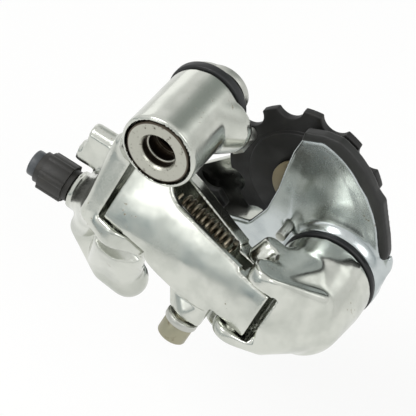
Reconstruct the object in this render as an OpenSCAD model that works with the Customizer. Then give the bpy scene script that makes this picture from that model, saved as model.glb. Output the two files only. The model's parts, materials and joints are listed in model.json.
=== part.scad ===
// Rear bicycle derailleur: short cage, two pivots, slant parallelogram, cable adjuster.
// Frame: +X forwards, +Y inboard towards the wheel, +Z up. The origin is on the hanger
// bolt's axis, where the stop plate seats on the frame's hanger. Lengths in millimetres.

/* [Hanger bolt and stop plate] */
// Radius of the thread that screws into the hanger
hanger_thread_r = 5; // [4.5:0.1:5.5]
// Reach of the thread beyond the stop plate
hanger_thread_len = 4.6; // [3.5:0.1:9]
// Radius of the bolt's plain shank, on which the upper knuckle turns
shank_r = 6; // [5.6:0.1:6.6]
// Radius of the bolt's disc head
bolt_head_r = 8.6; // [7.8:0.1:8.8]
// Thickness of the bolt's disc head
bolt_head_t = 4.6; // [4:0.1:5.5]
// Radius of the round recess in the bolt's head
bolt_recess_r = 4.6; // [4:0.1:5.2]
// Depth of the round recess in the bolt's head
bolt_recess_depth = 2.2; // [1:0.1:3]
// Width across the flats of the bolt's key socket
key_af = 6; // [4:0.5:6]
// Depth of the key socket below the round recess
key_depth = 5; // [3:0.5:7]
// Thickness of the stop plate
stop_plate_t = 2; // [1.5:0.1:3]
// Radius of the stop plate's round part
stop_plate_r = 9; // [8.6:0.1:9.4]
// Radius of the stop plate's front lobe
stop_lobe_r = 7; // [6.6:0.1:7.2]
// Reach of the stop plate's lug from the bolt's axis
stop_lug_reach = 16.4; // [16:0.1:17]
// Width of the stop plate's lug
stop_lug_w = 3.4; // [3:0.1:4]
// Length of the tab that is bent inboard from the lug, behind the hanger's own stop
stop_tab_len = 4.4; // [4.2:0.1:4.5]
// Direction of the stop plate's lug, from forwards towards up
stop_lug_angle = 300; // [297:1:303]

/* [Upper knuckle] */
// Radius of the upper knuckle's barrel
barrel_r = 10; // [9.8:0.1:10.8]
// Length of the upper knuckle's barrel
barrel_len = 22.8; // [21:0.1:25]
// Width of the rubber seal behind the barrel
upper_seal_w = 2.6; // [2:0.1:3.2]
// Radius of the spring chamber in the barrel
upper_chamber_r = 8.3; // [7.9:0.1:8.6]
// Thickness of the web that carries the upper bush
upper_web_t = 4; // [3:0.1:5]
// Outer radius of the upper bush
upper_bush_r = 7.2; // [6.9:0.1:7.6]
// Wire diameter of the two pivot springs
pivot_wire_d = 1.6; // [1.4:0.1:1.8]
// Radius of the flange lobe at the barrel's inboard end
flange_lobe_r = 8; // [7:0.1:9]
// Thickness of the flange lobe
flange_lobe_t = 2.6; // [2:0.1:3.5]

/* [Slant parallelogram] */
// Lean of the link pins forwards
pin_lean_fore = 22.9; // [20:0.1:26]
// Lean of the link pins inboard
pin_lean_in = 21.2; // [18:0.1:24]
// Distance between the two pins of each link
link_len = 39.4; // [38:0.1:41]
// Angle of the links at rest, outboard of the pin plane
link_rest = 10; // [8:0.5:12]
// Distance of the outer link's upper pin behind the hanger bolt, across the pins
outer_pin_back = 1.5; // [0.8:0.1:2.2]
// Distance of the outer link's upper pin outboard of the hanger bolt, across the pins
outer_pin_out = 6.1; // [5.5:0.1:6.7]
// Distance of the inner link's pins behind the outer link's pins
link_stagger = 4; // [3.5:0.1:4.5]
// Distance between the outer and the inner link's pins, inboard
link_gap = 13.5; // [13:0.1:14.5]
// Radius of the four link pins
link_pin_r = 2; // [1.6:0.1:2.4]
// Half the thickness of a link at its pins
link_half_t = 3.2; // [2.9:0.1:3.4]
// Length of a link beyond each pin
link_end = 3.9; // [3.6:0.1:4.1]
// Thickness of the outer link's face wall
link_wall = 2.2; // [1.8:0.1:3]
// Height along the pins of the outer link's top edge at its upper end
outer_link_top = -19.4; // [-20:0.1:-19]
// Drop of the outer link's top edge from its upper to its lower end
outer_link_top_drop = 8.6; // [8:0.1:9.2]
// Height along the pins of the outer link's bottom edge
outer_link_bottom = -41.8; // [-42.6:0.1:-41]
// Height along the pins of the inner link's top edge at its upper end
inner_link_top = -18.6; // [-19.2:0.1:-18.2]
// Drop of the inner link's top edge from its upper to its lower end
inner_link_top_drop = 11.4; // [10.8:0.1:12]
// Height along the pins of the inner link's bottom edge at its upper end
inner_link_bottom = -52; // [-52.6:0.1:-51]
// Rise of the inner link's bottom edge from its upper to its lower end
inner_link_bottom_rise = 5.5; // [5:0.1:6]
// Distance of the links' waist from the upper pins
link_waist_along = 13.6; // [12:0.1:15]
// Drop of the outer link's belly below its straight lower edge
link_belly = 3.4; // [2.8:0.1:3.8]
// Distance from the upper pin to where the outer link's belly begins
link_belly_from = 10.4; // [9.8:0.1:12]
// Distance from the upper pin to where the outer link's belly ends
link_belly_to = 32.6; // [31:0.1:33]
// Drop of the outer link's top edge from its upper end to the waist
outer_waist_drop = 6.3; // [5.6:0.1:6.8]
// Drop of the inner link's top edge from its upper end to the waist
inner_waist_drop = 6.2; // [5.6:0.1:6.8]
// Thickness of the ears that hold the link pins
ear_t = 4.8; // [4:0.1:5.4]
// Thickness of the lower knuckle's lowest ear
low_ear_t = 3.4; // [3:0.1:4]
// Radius of the ears that hold the link pins
ear_r = 4.6; // [4.2:0.1:5]
// Outer diameter of the return spring
return_spring_d = 6; // [5.4:0.1:6.2]
// Wire diameter of the return spring
return_wire_d = 1.1; // [0.8:0.05:1.3]

/* [Lower knuckle] */
// Distance of the cage pivot forward of the hanger bolt
cage_pivot_fore = 32.4; // [31.8:0.1:33.2]
// Distance of the cage pivot below the hanger bolt
cage_pivot_drop = 47.8; // [47:0.1:48.6]
// Inboard position of the lower knuckle's open end
lower_knuckle_in = 1.8; // [1.4:0.1:2.2]
// Length of the lower knuckle's barrel
lower_barrel_len = 23; // [22:0.1:25]
// Radius of the lower knuckle at its seal
lower_rim_r = 13; // [12.6:0.1:13.4]
// Radius of the lower knuckle's barrel
lower_barrel_r = 11.8; // [11.4:0.1:12.2]
// Radius of the lower knuckle's spring chamber
lower_chamber_r = 8; // [7.6:0.1:8.2]
// Depth of the lower knuckle's spring chamber
lower_chamber_depth = 13; // [11:0.1:14]
// Radius of the cage axle
cage_axle_r = 4; // [3.6:0.1:4.4]
// Wall of the cage axle's bush
cage_bush_wall = 1; // [0.8:0.1:1.4]
// Width of the rubber seal at the lower knuckle
lower_seal_w = 1.7; // [1.3:0.1:2.1]

/* [Cage] */
// Distance from the cage pivot to the guide pulley
guide_arm = 23.8; // [23:0.1:24.6]
// Direction of the guide pulley from the cage pivot, from forwards towards up
guide_angle = 120; // [118:0.5:122]
// Distance between the two pulleys
pulley_spacing = 50; // [48:0.5:54]
// Direction of the tension pulley from the guide pulley, from forwards towards up
tension_angle = 213; // [210:1:217]
// Inboard position of the pulleys' middle plane
pulley_mid = 12; // [11.8:0.1:12.6]
// Clear width between the two cage plates
cage_gap = 8.4; // [8:0.1:9]
// Thickness of the outer cage plate at its edge
outer_plate_t = 2; // [1.6:0.1:2.4]
// Thickness of the inner cage plate
inner_plate_t = 1.8; // [1.4:0.1:2.2]
// Radius of the inner cage plate at the guide pulley
inner_plate_r = 9; // [8.2:0.1:10]
// Sag of the inner cage plate's middle below the line between the pulleys
strap_sag = 2.6; // [2:0.1:3.2]
// Radius of the outer plate's front edge about the guide pulley
plate_front_r = 20.1; // [19.4:0.1:20.6]
// Width of the black chain guard strip
guard_w = 3.9; // [3.4:0.1:4.6]
// Thickness of the black chain guard strip
guard_t = 3; // [2.4:0.1:3.4]
// Radius of both plates' round ends at the tension pulley
plate_end_r = 8.5; // [7.8:0.1:9.2]
// Radius of the cage stop pin
stop_pin_r = 1.4; // [1.1:0.1:1.8]
// Distance of the cage stop pin from the cage pivot
stop_pin_arm = 15.7; // [15.5:0.1:16.2]

/* [Pulleys] */
// Number of teeth on each pulley
pulley_teeth = 11; // [10:1:11]
// Chain pitch
chain_pitch = 12.7; // [12.6:0.05:12.8]
// Radius of a chain roller
roller_r = 3.9; // [3.8:0.05:4]
// Depth of the tooth tips inside the pitch circle
tip_drop = 0.9; // [0.6:0.1:1.4]
// Thickness of the toothed rim
tooth_t = 2.2; // [1.8:0.1:2.3]
// Thickness of a pulley's hub
pulley_hub_t = 5; // [4:0.1:5.8]
// Radius of a pulley's hub
pulley_hub_r = 15.2; // [14:0.1:16]
// Outer radius of the guide pulley's bush
bush_r = 4.6; // [4:0.1:5]
// Outer radius of the tension pulley's bearing
bearing_r = 7; // [6.6:0.1:7.4]
// Thickness of each bearing race
race_t = 1.2; // [1:0.1:1.4]
// Number of balls in the bearing
ball_count = 9; // [7:1:9]
// Radius of the pulley bolts
pulley_bolt_r = 2.5; // [2.3:0.1:2.6]
// Radius of the pulley bolts' heads
pulley_bolt_head_r = 4.2; // [3.8:0.1:4.6]
// Radius of the dust caps
dust_cap_r = 7.6; // [7:0.1:8.2]
// Thickness of the dust caps
dust_cap_t = 1.1; // [0.9:0.1:1.2]

/* [Cable parts and screws] */
// Radius of the cable housing's socket in the adjuster
housing_r = 2.6; // [2.3:0.1:2.8]
// Depth of the cable housing's socket
housing_depth = 7; // [6:0.5:9]
// Radius of the inner cable's passage
cable_hole_r = 1; // [0.8:0.1:1.2]
// Radius of the adjuster's thread
adjuster_thread_r = 2.9; // [2.7:0.1:3.1]
// Length of the adjuster's thread
adjuster_thread_len = 7.5; // [6:0.5:7.5]
// Radius of the adjuster's grip
adjuster_grip_r = 5.3; // [4.9:0.1:5.6]
// Length of the adjuster's grip
adjuster_grip_len = 11; // [10:0.5:13]
// Rise of the adjuster's and the limit screws' axes, from backwards towards up
rear_tilt = 16.3; // [14:0.1:19]
// Distance of the adjuster's seat behind the hanger bolt
adjuster_back = 36.4; // [35.6:0.1:37.2]
// Distance of the adjuster's seat below the hanger bolt
adjuster_drop = 37.4; // [36.6:0.1:38.2]
// Distance of the adjuster's axis outboard of the hanger's face
adjuster_out = 10; // [9.4:0.1:10.6]
// Radius of the adjuster boss on the upper knuckle
adjuster_boss_r = 5.4; // [5:0.1:5.8]
// Length of the adjuster's metal tip
adjuster_tip_len = 2.6; // [2:0.1:3.5]
// Radius of the limit screws and of the angle screw
screw_r = 1.6; // [1.3:0.1:1.8]
// Radius of the screws' heads
screw_head_r = 2.3; // [2.1:0.1:2.5]
// Distance between the two limit screws
screw_pitch = 7; // [6.6:0.1:7.4]
// Radius of the limit screws' bosses
screw_boss_r = 2.9; // [2.8:0.1:3.2]
// Distance of the cable anchor from the outer link's upper pin
anchor_along = 26.9; // [26:0.1:27.5]
// Radius of the cable anchor bolt's head
anchor_head_r = 4; // [3.7:0.1:4.3]
// Height of the cable anchor bolt's head
anchor_head_t = 4.8; // [4:0.1:5.6]
// Radius of the cable anchor bolt's thread
anchor_thread_r = 2.5; // [2.2:0.1:2.6]
// Thickness of the cable anchor's washer
anchor_washer_t = 2; // [1.5:0.1:2.5]

/* [Hidden] */
$fn = 64;
soft_fn = 28;
run_clear = 0.05;
part_gap = 0.35;
swing_clear = 2.2;
eps = 0.01;

// Places along the hanger bolt's axis
barrel_in_y = -(stop_plate_t + upper_seal_w);
barrel_out_y = barrel_in_y - barrel_len;
head_in_y = barrel_out_y + bolt_head_t;
web_out_y = head_in_y + part_gap;
web_in_y = web_out_y + upper_web_t;
seal_r = barrel_r + 0.5;
stop_lobe_at = [2.7, 2.2];
flange_lobe_at = [5.5, -3.3];

// Places of the link pins in the pin frame, as [forwards, inboard]
outer_pin_b = [-outer_pin_back, -outer_pin_out];
link_step = link_len * [cos(link_rest), -sin(link_rest)];
pin_offset = [-link_stagger, link_gap];
inner_pin_b = outer_pin_b + pin_offset;
outer_pin_p = outer_pin_b + link_step;
inner_pin_p = inner_pin_b + link_step;
between_b = (outer_pin_b.y + inner_pin_b.y) / 2;
between_p = (outer_pin_p.y + inner_pin_p.y) / 2;
pin_pocket_r = link_half_t + swing_clear;

// Heights along the pins of the links' lower ends
outer_low_top = outer_link_top - outer_link_top_drop;
inner_low_top = inner_link_top - inner_link_top_drop;
inner_low_bottom = inner_link_bottom + inner_link_bottom_rise;
link_shoulder = link_end + 2;
link_end_r = link_end + 1.1;
shoulder_step = 1;
inner_link_groove = 1.4;

// Ends of the return spring across the pins, its height along them and its dip
spring_from = outer_pin_b + [link_end + 4.9, link_half_t + 0.9];
spring_to = inner_pin_p - [link_end + 3, link_half_t + 4.2];
spring_height = outer_link_top - outer_waist_drop - 2.4;
spring_dip = 1.5;

// Seats of the adjuster and of the two limit screws, as [forwards, inboard, up]
adjuster_at = [-adjuster_back, -adjuster_out, -adjuster_drop];
limit_low_fore = 0.1;
limit_low_in = 3.6;
limit_low_rise = 11;
limit_low_at = adjuster_at + [limit_low_fore, limit_low_in, limit_low_rise];
limit_high_at = limit_low_at + screw_pitch * [0.5, 0.1, 0.86];

boss_len = 9;
screw_len = 9;
angle_screw_len = 7.5;
tab_screw_edge = screw_r + 1;
screw_sink = 2;
screw_head_t = 1.3;
slot_len = 2.8;
slot_w = 0.6;
slot_depth = 0.6;

// The adjuster's collar and the ribs on its grip
adjuster_ribs = 6;
adjuster_rib_r = 1.4;
collar_len = 1.8;
collar_step = 0.8;

// Centres of the balls that the upper knuckle's blends run through, in the pin frame
function near(pin, height, offset) = [pin.x + offset.x, pin.y + offset.y, height + offset.z];
neck_out = near(outer_pin_b, outer_link_top, [-7.8, 0.3, -3.4]);
neck_in = near(inner_pin_b, inner_link_top, [-5.8, 0, -3.4]);
crown_out = near(outer_pin_b, outer_link_top, [-8, 0.3, -4]);
crown_in = near(inner_pin_b, inner_link_top, [-6, 0, -4]);
crown_out_low = near(outer_pin_b, outer_link_bottom, [-7.6, 1, -1.5]);
crown_in_low = near(inner_pin_b, inner_link_bottom, [-5.8, 0, -4]);
rear_web_in = near(inner_pin_b, inner_link_top, [-5.6, 0.2, -4.4]);
ear_root = near(outer_pin_b, outer_link_bottom, [-8, 1, -2.4]);
skirt_tip = near(outer_pin_b, outer_link_bottom, [6.6, 1.8, -3.6]);
skirt_mid = near(inner_pin_b, inner_link_bottom, [3.4, -0.6, -8.2]);
skirt_low = near(inner_pin_b, inner_link_bottom, [10.4, -0.4, -8.2]);
belly_root = near(inner_pin_b, inner_link_bottom, [-5, 0.6, -4.6]);
belly_mid = near(inner_pin_b, inner_link_bottom, [5.4, 0.4, -9.2]);
belly_tip = near(inner_pin_b, inner_link_bottom, [11.6, 0.4, -9]);

// Centres of the balls that the lower knuckle's blends run through, in the pin frame
brow_out = near(outer_pin_p, outer_low_top, [8.6, -0.6, 0.6]);
brow_low = near(outer_pin_p, outer_link_bottom, [9, 0, 1.4]);
brow_in = near(inner_pin_p, inner_low_top, [9, -2, 1]);
saddle_out = near(outer_pin_p, outer_low_top, [3.4, 0.8, 2]);
saddle_in = near(inner_pin_p, inner_low_top, [3.4, -0.8, 3.4]);
upper_ear_root = near(outer_pin_p, outer_low_top, [8.6, 0, 1.6]);
lower_ear_front = near(outer_pin_p, outer_link_bottom, [-3.2, 2.4, -2.6]);
lower_ear_root = near(outer_pin_p, outer_link_bottom, [8.6, 0.4, -0.6]);
inner_ear_root = near(inner_pin_p, inner_low_top, [10, -1, 2]);
inner_low_root = near(inner_pin_p, inner_low_bottom, [9, -4, 2]);

// Reach of the spaces that the links swing in, beyond the pins
swing_reach = 34;
swing_out = 12;
swing_in = 16;

// Heights along the pins of the cable anchor
anchor_boss_end = outer_link_bottom - 8.6;
anchor_washer_end = anchor_boss_end - part_gap - anchor_washer_t;
anchor_in = 2.4;
anchor_boss_r = anchor_head_r + 0.8;
anchor_grip = 6;
anchor_key_af = 5;
anchor_key_depth = 3;

// Places of the cage parts, as [forwards, up]
cage_pivot = [cage_pivot_fore, -cage_pivot_drop];
guide_at = cage_pivot + guide_arm * [cos(guide_angle), sin(guide_angle)];
tension_at = guide_at + pulley_spacing * [cos(tension_angle), sin(tension_angle)];
stop_pin_angle = 145;
stop_rest = 3.6;
stop_pin_at = cage_pivot + stop_pin_arm * [cos(stop_pin_angle), sin(stop_pin_angle)];
plate_in_y = pulley_mid - cage_gap / 2;
plate_out_y = plate_in_y - outer_plate_t;
far_plate_y = pulley_mid + cage_gap / 2;
boss_out_y = lower_knuckle_in + lower_seal_w;
lower_out_y = lower_knuckle_in - lower_barrel_len;
chamber_end_y = lower_knuckle_in - lower_chamber_depth;
axle_end_y = lower_out_y + 3.5;
clip_out_y = axle_end_y + 0.9;
clip_in_y = clip_out_y + 0.6;
clip_bore_r = cage_axle_r - 0.6;
bush_inset = 0.1;
seal_depth = 2;
inner_root_r = 4;
stop_pin_lap = 1.6;
stop_pin_seat = 1.2;
race_w = 4;
pulley_bolt_head_t = 2;
pulley_key_af = 3;
pulley_key_depth = 1.4;

// Corners of the outer plate and of the guard, from the guide pulley, as [forwards, up]
plate_nose = [1.4, 17.4];
guard_start_angle = 68;
guard_end_angle = 30;
guard_foot = [[20, 6.5], [21.9, 2.1], [23.3, -2.5], [24.2, -8.6], [24.8, -11.2], [26, -11.9],
    [26.9, -11]];
guard_shin = [[27.1, -9], [26.5, -4.2], [25.4, 1.4], [24.5, 6.4]];
guard_brow = [[7.6, 21.2], [2.3, 20.3]];
plate_heel = [[27.6, -11.4], [27.9, -13], [27.7, -15.6]];
plate_back = [[-13.3, -16], [-8.2, -9.3], [-5, -1.2], [-3.2, 5.5], [-1.1, 12.3]];

// Pulley tooth form
tooth_angle = 360 / pulley_teeth;
pitch_r = chain_pitch / (2 * sin(tooth_angle / 2));
tip_r = pitch_r - tip_drop;
tooth_phase = 20.9;

// A round bar along Y from y0 to y1
module ycyl(y0, y1, r) {
    translate([0, y0, 0]) rotate([-90, 0, 0]) cylinder(r = r, h = y1 - y0);
}

// A round tube along Y from y0 to y1
module ytube(y0, y1, r, bore) difference() {
    ycyl(y0, y1, r);
    ycyl(y0 - 1, y1 + 1, bore);
}

// Puts children at a place given as [forwards, up]
module at_xz(c) {
    translate([c.x, 0, c.y]) children();
}

// Raises a flat outline drawn in [forwards, up] from y0 to y1
module yplate(y0, y1) {
    translate([0, y1, 0]) rotate([90, 0, 0]) linear_extrude(height = y1 - y0) children();
}

// The pin frame: x forwards, y inboard, z along the link pins
module pin_frame() {
    rotate([-pin_lean_in, pin_lean_fore, 0]) children();
}

// A ball that a forging's blends run through
module ball(c, r) {
    translate(c) sphere(r = r, $fn = soft_fn);
}

// A round bar along the pins between two heights
module pbar(c, low, high, r) {
    translate([c.x, c.y, low]) cylinder(r = r, h = high - low);
}

// A round ear in the pin frame, with few faces because it is blended by a hull
module ear(c, low, high) {
    translate([c.x, c.y, low]) cylinder(r = ear_r, h = high - low, $fn = 32);
}

// The frame of a link: x from its upper to its lower pin, z along the pins
module link_frame(pin) {
    pin_frame() translate([pin.x, pin.y, 0]) rotate([0, 0, -link_rest]) children();
}

// The frame of a rear-facing screw: z points backwards out of the upper knuckle
module rear_frame(c) {
    translate(c) rotate([0, rear_tilt - 90, 0]) children();
}

// Points on an arc about c, from angle a0 to a1
function arc(c, r, a0, a1, n) =
    [for (i = [0:n]) let (a = a0 + (a1 - a0) * i / n) c + r * [cos(a), sin(a)]];

module hanger_bolt() color("silver") difference() {
    union() {
        ycyl(barrel_out_y, head_in_y, bolt_head_r);
        ycyl(head_in_y - eps, -stop_plate_t / 2, shank_r);
        ycyl(-stop_plate_t, hanger_thread_len, hanger_thread_r);
    }
    ycyl(barrel_out_y - 1, barrel_out_y + bolt_recess_depth, bolt_recess_r);
    translate([0, barrel_out_y, 0]) rotate([-90, 0, 0])
        cylinder(r = key_af / (2 * cos(30)), h = bolt_recess_depth + key_depth, $fn = 6);
}

// The frame of the stop plate's lug: x outwards from the bolt, z across the lug
module lug_frame() {
    rotate([0, -stop_lug_angle, 0]) children();
}

module stop_plate() color("silver") difference() {
    union() {
        ycyl(-stop_plate_t, 0, stop_plate_r);
        at_xz(stop_lobe_at) ycyl(-stop_plate_t, 0, stop_lobe_r);
        lug_frame() {
            translate([0, -stop_plate_t, -stop_lug_w / 2])
                cube([stop_lug_reach, stop_plate_t, stop_lug_w]);
            translate([stop_lug_reach - 2 * tab_screw_edge, -eps, -stop_lug_w / 2])
                cube([2 * tab_screw_edge, stop_tab_len, stop_lug_w]);
        }
    }
    ycyl(-stop_plate_t - 1, 1, shank_r + run_clear);
    angle_frame() translate([0, 0, -stop_lug_w])
        cylinder(r = screw_r + run_clear, h = 2 * stop_lug_w);
}

module upper_bush() color("goldenrod")
    ytube(web_out_y, web_in_y, upper_bush_r, shank_r + run_clear);

module upper_seal() color("black")
    ytube(barrel_in_y, -stop_plate_t - part_gap / 2, seal_r, upper_chamber_r);

module upper_spring() color("dimgray")
    ytube(web_in_y + part_gap, -stop_plate_t - part_gap, upper_chamber_r - part_gap,
        upper_chamber_r - part_gap - pivot_wire_d);

// The angle screw goes through the bent tab and bears on the hanger's stop
module angle_frame() {
    lug_frame() translate([stop_lug_reach - tab_screw_edge, stop_tab_len / 2, 0]) children();
}

module angle_screw() color("silver") angle_frame() translate([0, 0, -stop_lug_w]) difference() {
    union() {
        translate([0, 0, -screw_head_t / 2]) cylinder(r = screw_r, h = angle_screw_len);
        translate([0, 0, -screw_head_t]) cylinder(r = screw_head_r, h = screw_head_t);
    }
    translate([0, 0, -screw_head_t]) mirror([0, 0, 1]) cross_slot();
}

// A cross slot cut into a screw's head, whose face lies at z = 0
module cross_slot() for (a = [0, 90]) rotate([0, 0, a])
    translate([-slot_len / 2, -slot_w / 2, -slot_depth]) cube([slot_len, slot_w, slot_depth + 1]);

module upper_knuckle() color("gainsboro") difference() {
    union() {
        ycyl(barrel_out_y, barrel_in_y, barrel_r);
        hull() {
            ycyl(barrel_in_y - 8, barrel_in_y - 7, barrel_r - 0.2, $fn = 32);
            at_xz(flange_lobe_at)
                ycyl(barrel_in_y - flange_lobe_t, barrel_in_y, flange_lobe_r, $fn = 32);
        }
        // neck from the barrel to the crown and the upper ears
        hull() {
            ycyl(barrel_out_y + 5, barrel_in_y - 3, barrel_r - 0.4, $fn = 32);
            pin_frame() {
                ball(neck_out, 3.2);
                ball(neck_in, 3.4);
                ear(outer_pin_b, outer_link_top + part_gap, outer_link_top + ear_t);
                ear(inner_pin_b, inner_link_top + part_gap, inner_link_top + ear_t);
            }
        }
        pin_frame() {
            // crown wall behind both links
            hull() {
                ball(crown_out, 3.4);
                ball(crown_in, 3.6);
                ball(crown_out_low, 3.4);
                ball(crown_in_low, 3.8);
            }
            // belly that carries the inner link's lower ear
            hull() {
                ear(inner_pin_b, inner_link_bottom - ear_t, inner_link_bottom - part_gap);
                ball(belly_root, 4);
                ball(belly_mid, 5);
                ball(belly_tip, 5.3);
            }
            // skirt between the outer link's lower ear and the belly
            hull() {
                ear(outer_pin_b, outer_link_bottom - ear_t + 0.4, outer_link_bottom - part_gap - 0.2);
                ball(skirt_tip, 2.8);
                ball(skirt_mid, 4.4);
                ball(skirt_low, 4.4);
            }
            // lower ear of the outer link
            hull() {
                ear(outer_pin_b, outer_link_bottom - ear_t, outer_link_bottom - part_gap);
                ball(ear_root, 3);
            }
        }
        // web that ties the rear bosses to the crown
        hull() {
            for (c = [limit_high_at, limit_low_at]) rear_frame(c)
                translate([0, 0, -boss_len]) sphere(r = screw_boss_r - 0.6, $fn = soft_fn);
            rear_frame(adjuster_at) translate([0, 0, -boss_len])
                sphere(r = adjuster_boss_r - 1, $fn = soft_fn);
            pin_frame() ball(rear_web_in, 3);
        }
        for (c = [limit_high_at, limit_low_at]) rear_frame(c)
            translate([0, 0, -boss_len]) cylinder(r = screw_boss_r, h = boss_len);
        rear_frame(adjuster_at) translate([0, 0, -boss_len - 2])
            cylinder(r = adjuster_boss_r, h = boss_len + 2);
    }
    ycyl(barrel_out_y - 1, web_out_y, bolt_head_r + part_gap);
    ycyl(barrel_out_y, web_in_y, upper_bush_r);
    ycyl(web_in_y, barrel_in_y + 1, upper_chamber_r);
    ycyl(barrel_in_y, stop_tab_len + ear_r, seal_r + 2 * part_gap);
    pin_frame() {
        // space that the links swing in
        translate([outer_pin_b.x - pin_pocket_r, between_b - swing_in, outer_link_bottom - part_gap])
            cube([swing_reach, swing_in + eps, outer_link_top - outer_link_bottom + 2 * part_gap]);
        translate([inner_pin_b.x - pin_pocket_r, between_b, inner_link_bottom - part_gap])
            cube([swing_reach, swing_in, inner_link_top - inner_link_bottom + 2 * part_gap]);
        pbar(outer_pin_b, outer_link_bottom - ear_t - 1, outer_link_top + ear_t, link_pin_r);
        pbar(inner_pin_b, inner_link_bottom - ear_t - 1, inner_link_top + ear_t, link_pin_r);
    }
    for (c = [limit_high_at, limit_low_at]) rear_frame(c) {
        translate([0, 0, -boss_len - 8]) cylinder(r = screw_r + run_clear, h = boss_len + 10);
        translate([0, 0, -screw_sink]) cylinder(r = screw_head_r + run_clear, h = screw_sink + 1);
    }
    rear_frame(adjuster_at) {
        translate([0, 0, -adjuster_thread_len - part_gap])
            cylinder(r = adjuster_thread_r + run_clear, h = adjuster_thread_len + 2);
        translate([0, 0, -boss_len - 10]) cylinder(r = cable_hole_r, h = boss_len + 10);
    }
}

module upper_link_pins() color("dimgray") pin_frame() {
    pbar(outer_pin_b, outer_link_bottom - ear_t, outer_link_top + ear_t, link_pin_r);
    pbar(inner_pin_b, inner_link_bottom - ear_t, inner_link_top + ear_t, link_pin_r);
}

// A recessed set screw with a cross slot, its head just inside its boss
module limit_screw(c) color("silver") rear_frame(c) difference() {
    union() {
        translate([0, 0, -screw_len])
            cylinder(r = screw_r, h = screw_len - screw_sink + screw_head_t / 2);
        translate([0, 0, -screw_sink + run_clear]) cylinder(r = screw_head_r, h = screw_head_t);
    }
    translate([0, 0, screw_head_t - screw_sink + run_clear]) cross_slot();
}

module limit_screw_high() limit_screw(limit_high_at);

module limit_screw_low() limit_screw(limit_low_at);

module adjuster_frame() {
    rear_frame(adjuster_at) children();
}

module cable_adjuster() color("#2b2b2b") adjuster_frame() difference() {
    union() {
        translate([0, 0, -adjuster_thread_len])
            cylinder(r = adjuster_thread_r, h = adjuster_thread_len + collar_len);
        translate([0, 0, part_gap])
            cylinder(r = adjuster_grip_r - collar_step, h = adjuster_grip_len - part_gap);
        translate([0, 0, collar_len])
            cylinder(r = adjuster_grip_r, h = adjuster_grip_len - 2 * collar_len);
        for (i = [0:adjuster_ribs - 1]) rotate([0, 0, i * 360 / adjuster_ribs])
            translate([adjuster_grip_r - adjuster_rib_r + 0.4, 0, collar_len])
            cylinder(r = adjuster_rib_r, h = adjuster_grip_len - 2 * collar_len);
    }
    translate([0, 0, -adjuster_thread_len - 1])
        cylinder(r = cable_hole_r, h = adjuster_thread_len + adjuster_grip_len + 2);
    translate([0, 0, adjuster_grip_len + adjuster_tip_len - housing_depth])
        cylinder(r = housing_r, h = housing_depth);
}

module adjuster_tip() color("slategray") adjuster_frame() difference() {
    translate([0, 0, adjuster_grip_len])
        cylinder(r = adjuster_grip_r - 2 * collar_step, h = adjuster_tip_len);
    translate([0, 0, adjuster_grip_len - 1]) cylinder(r = housing_r, h = adjuster_tip_len + 2);
}

// A link's side outline: a curve drops from its upper end to the waist, and a shoulder
// at its lower end makes room for the lower knuckle's ear
module link_outline(top0, waist, top1, bottom0, bottom1) polygon(concat(
    [[-link_end, bottom0], [link_end, bottom0], [link_len - link_shoulder, bottom1],
        [link_len + link_end, bottom1], [link_len + link_end, top1],
        [link_len - link_shoulder, top1],
        [link_len - link_shoulder - shoulder_step / 2, top1 + shoulder_step]],
    [for (a = [90:-15:0]) [link_waist_along - (link_waist_along - link_shoulder) * cos(a),
        top0 - (top0 - waist) * sin(a)]],
    [[-link_end, top0]]
));

// The body of a link: its outline, with ends that are round about the pins inside
module link_body(top0, waist, top1, bottom0, bottom1) intersection() {
    translate([0, link_half_t, 0]) rotate([90, 0, 0])
        linear_extrude(height = 2 * link_half_t) link_outline(top0, waist, top1, bottom0, bottom1);
    union() {
        translate([0, -link_half_t, bottom0 - 1])
            cube([link_len, 2 * link_half_t, top0 - bottom0 + 2]);
        for (x = [0, link_len]) translate([x, 0, bottom0 - 1])
            cylinder(r = link_end_r, h = top0 - bottom0 + 2);
    }
}

// The outer link's lower edge hangs in a full curve between the knuckles' ears
module outer_link_belly() translate([0, link_half_t, 0]) rotate([90, 0, 0])
    linear_extrude(height = 2 * link_half_t) polygon(concat(
        [[link_belly_to, outer_link_bottom + 1], [link_belly_from, outer_link_bottom + 1]],
        [for (a = [0:15:180]) [
            (link_belly_from + link_belly_to) / 2 - (link_belly_to - link_belly_from) / 2 * cos(a),
            outer_link_bottom - link_belly * pow(sin(a), 0.6)]]
    ));

module link_bores(low, high) for (x = [0, link_len]) translate([x, 0, low - 1])
    cylinder(r = link_pin_r + run_clear, h = high - low + 2);

module outer_link() color("gainsboro") link_frame(outer_pin_b) difference() {
    union() {
        link_body(outer_link_top, outer_link_top - outer_waist_drop, outer_low_top,
            outer_link_bottom, outer_link_bottom);
        outer_link_belly();
        // boss of the cable anchor
        hull() {
            translate([anchor_along, anchor_in, anchor_boss_end])
                cylinder(r = anchor_boss_r, h = link_wall, $fn = 32);
            translate([anchor_along - 2 * anchor_boss_r, -1, outer_link_bottom])
                cube([3 * anchor_boss_r, link_half_t + 1, link_wall]);
        }
    }
    translate([link_shoulder, -link_half_t + link_wall, outer_link_bottom + link_wall])
        cube([link_len - 2 * link_shoulder, 2 * link_half_t, outer_link_top - outer_link_bottom]);
    link_bores(outer_link_bottom, outer_link_top);
    translate([anchor_along, anchor_in, anchor_boss_end - 1])
        cylinder(r = anchor_thread_r, h = anchor_grip + 1);
}

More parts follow.
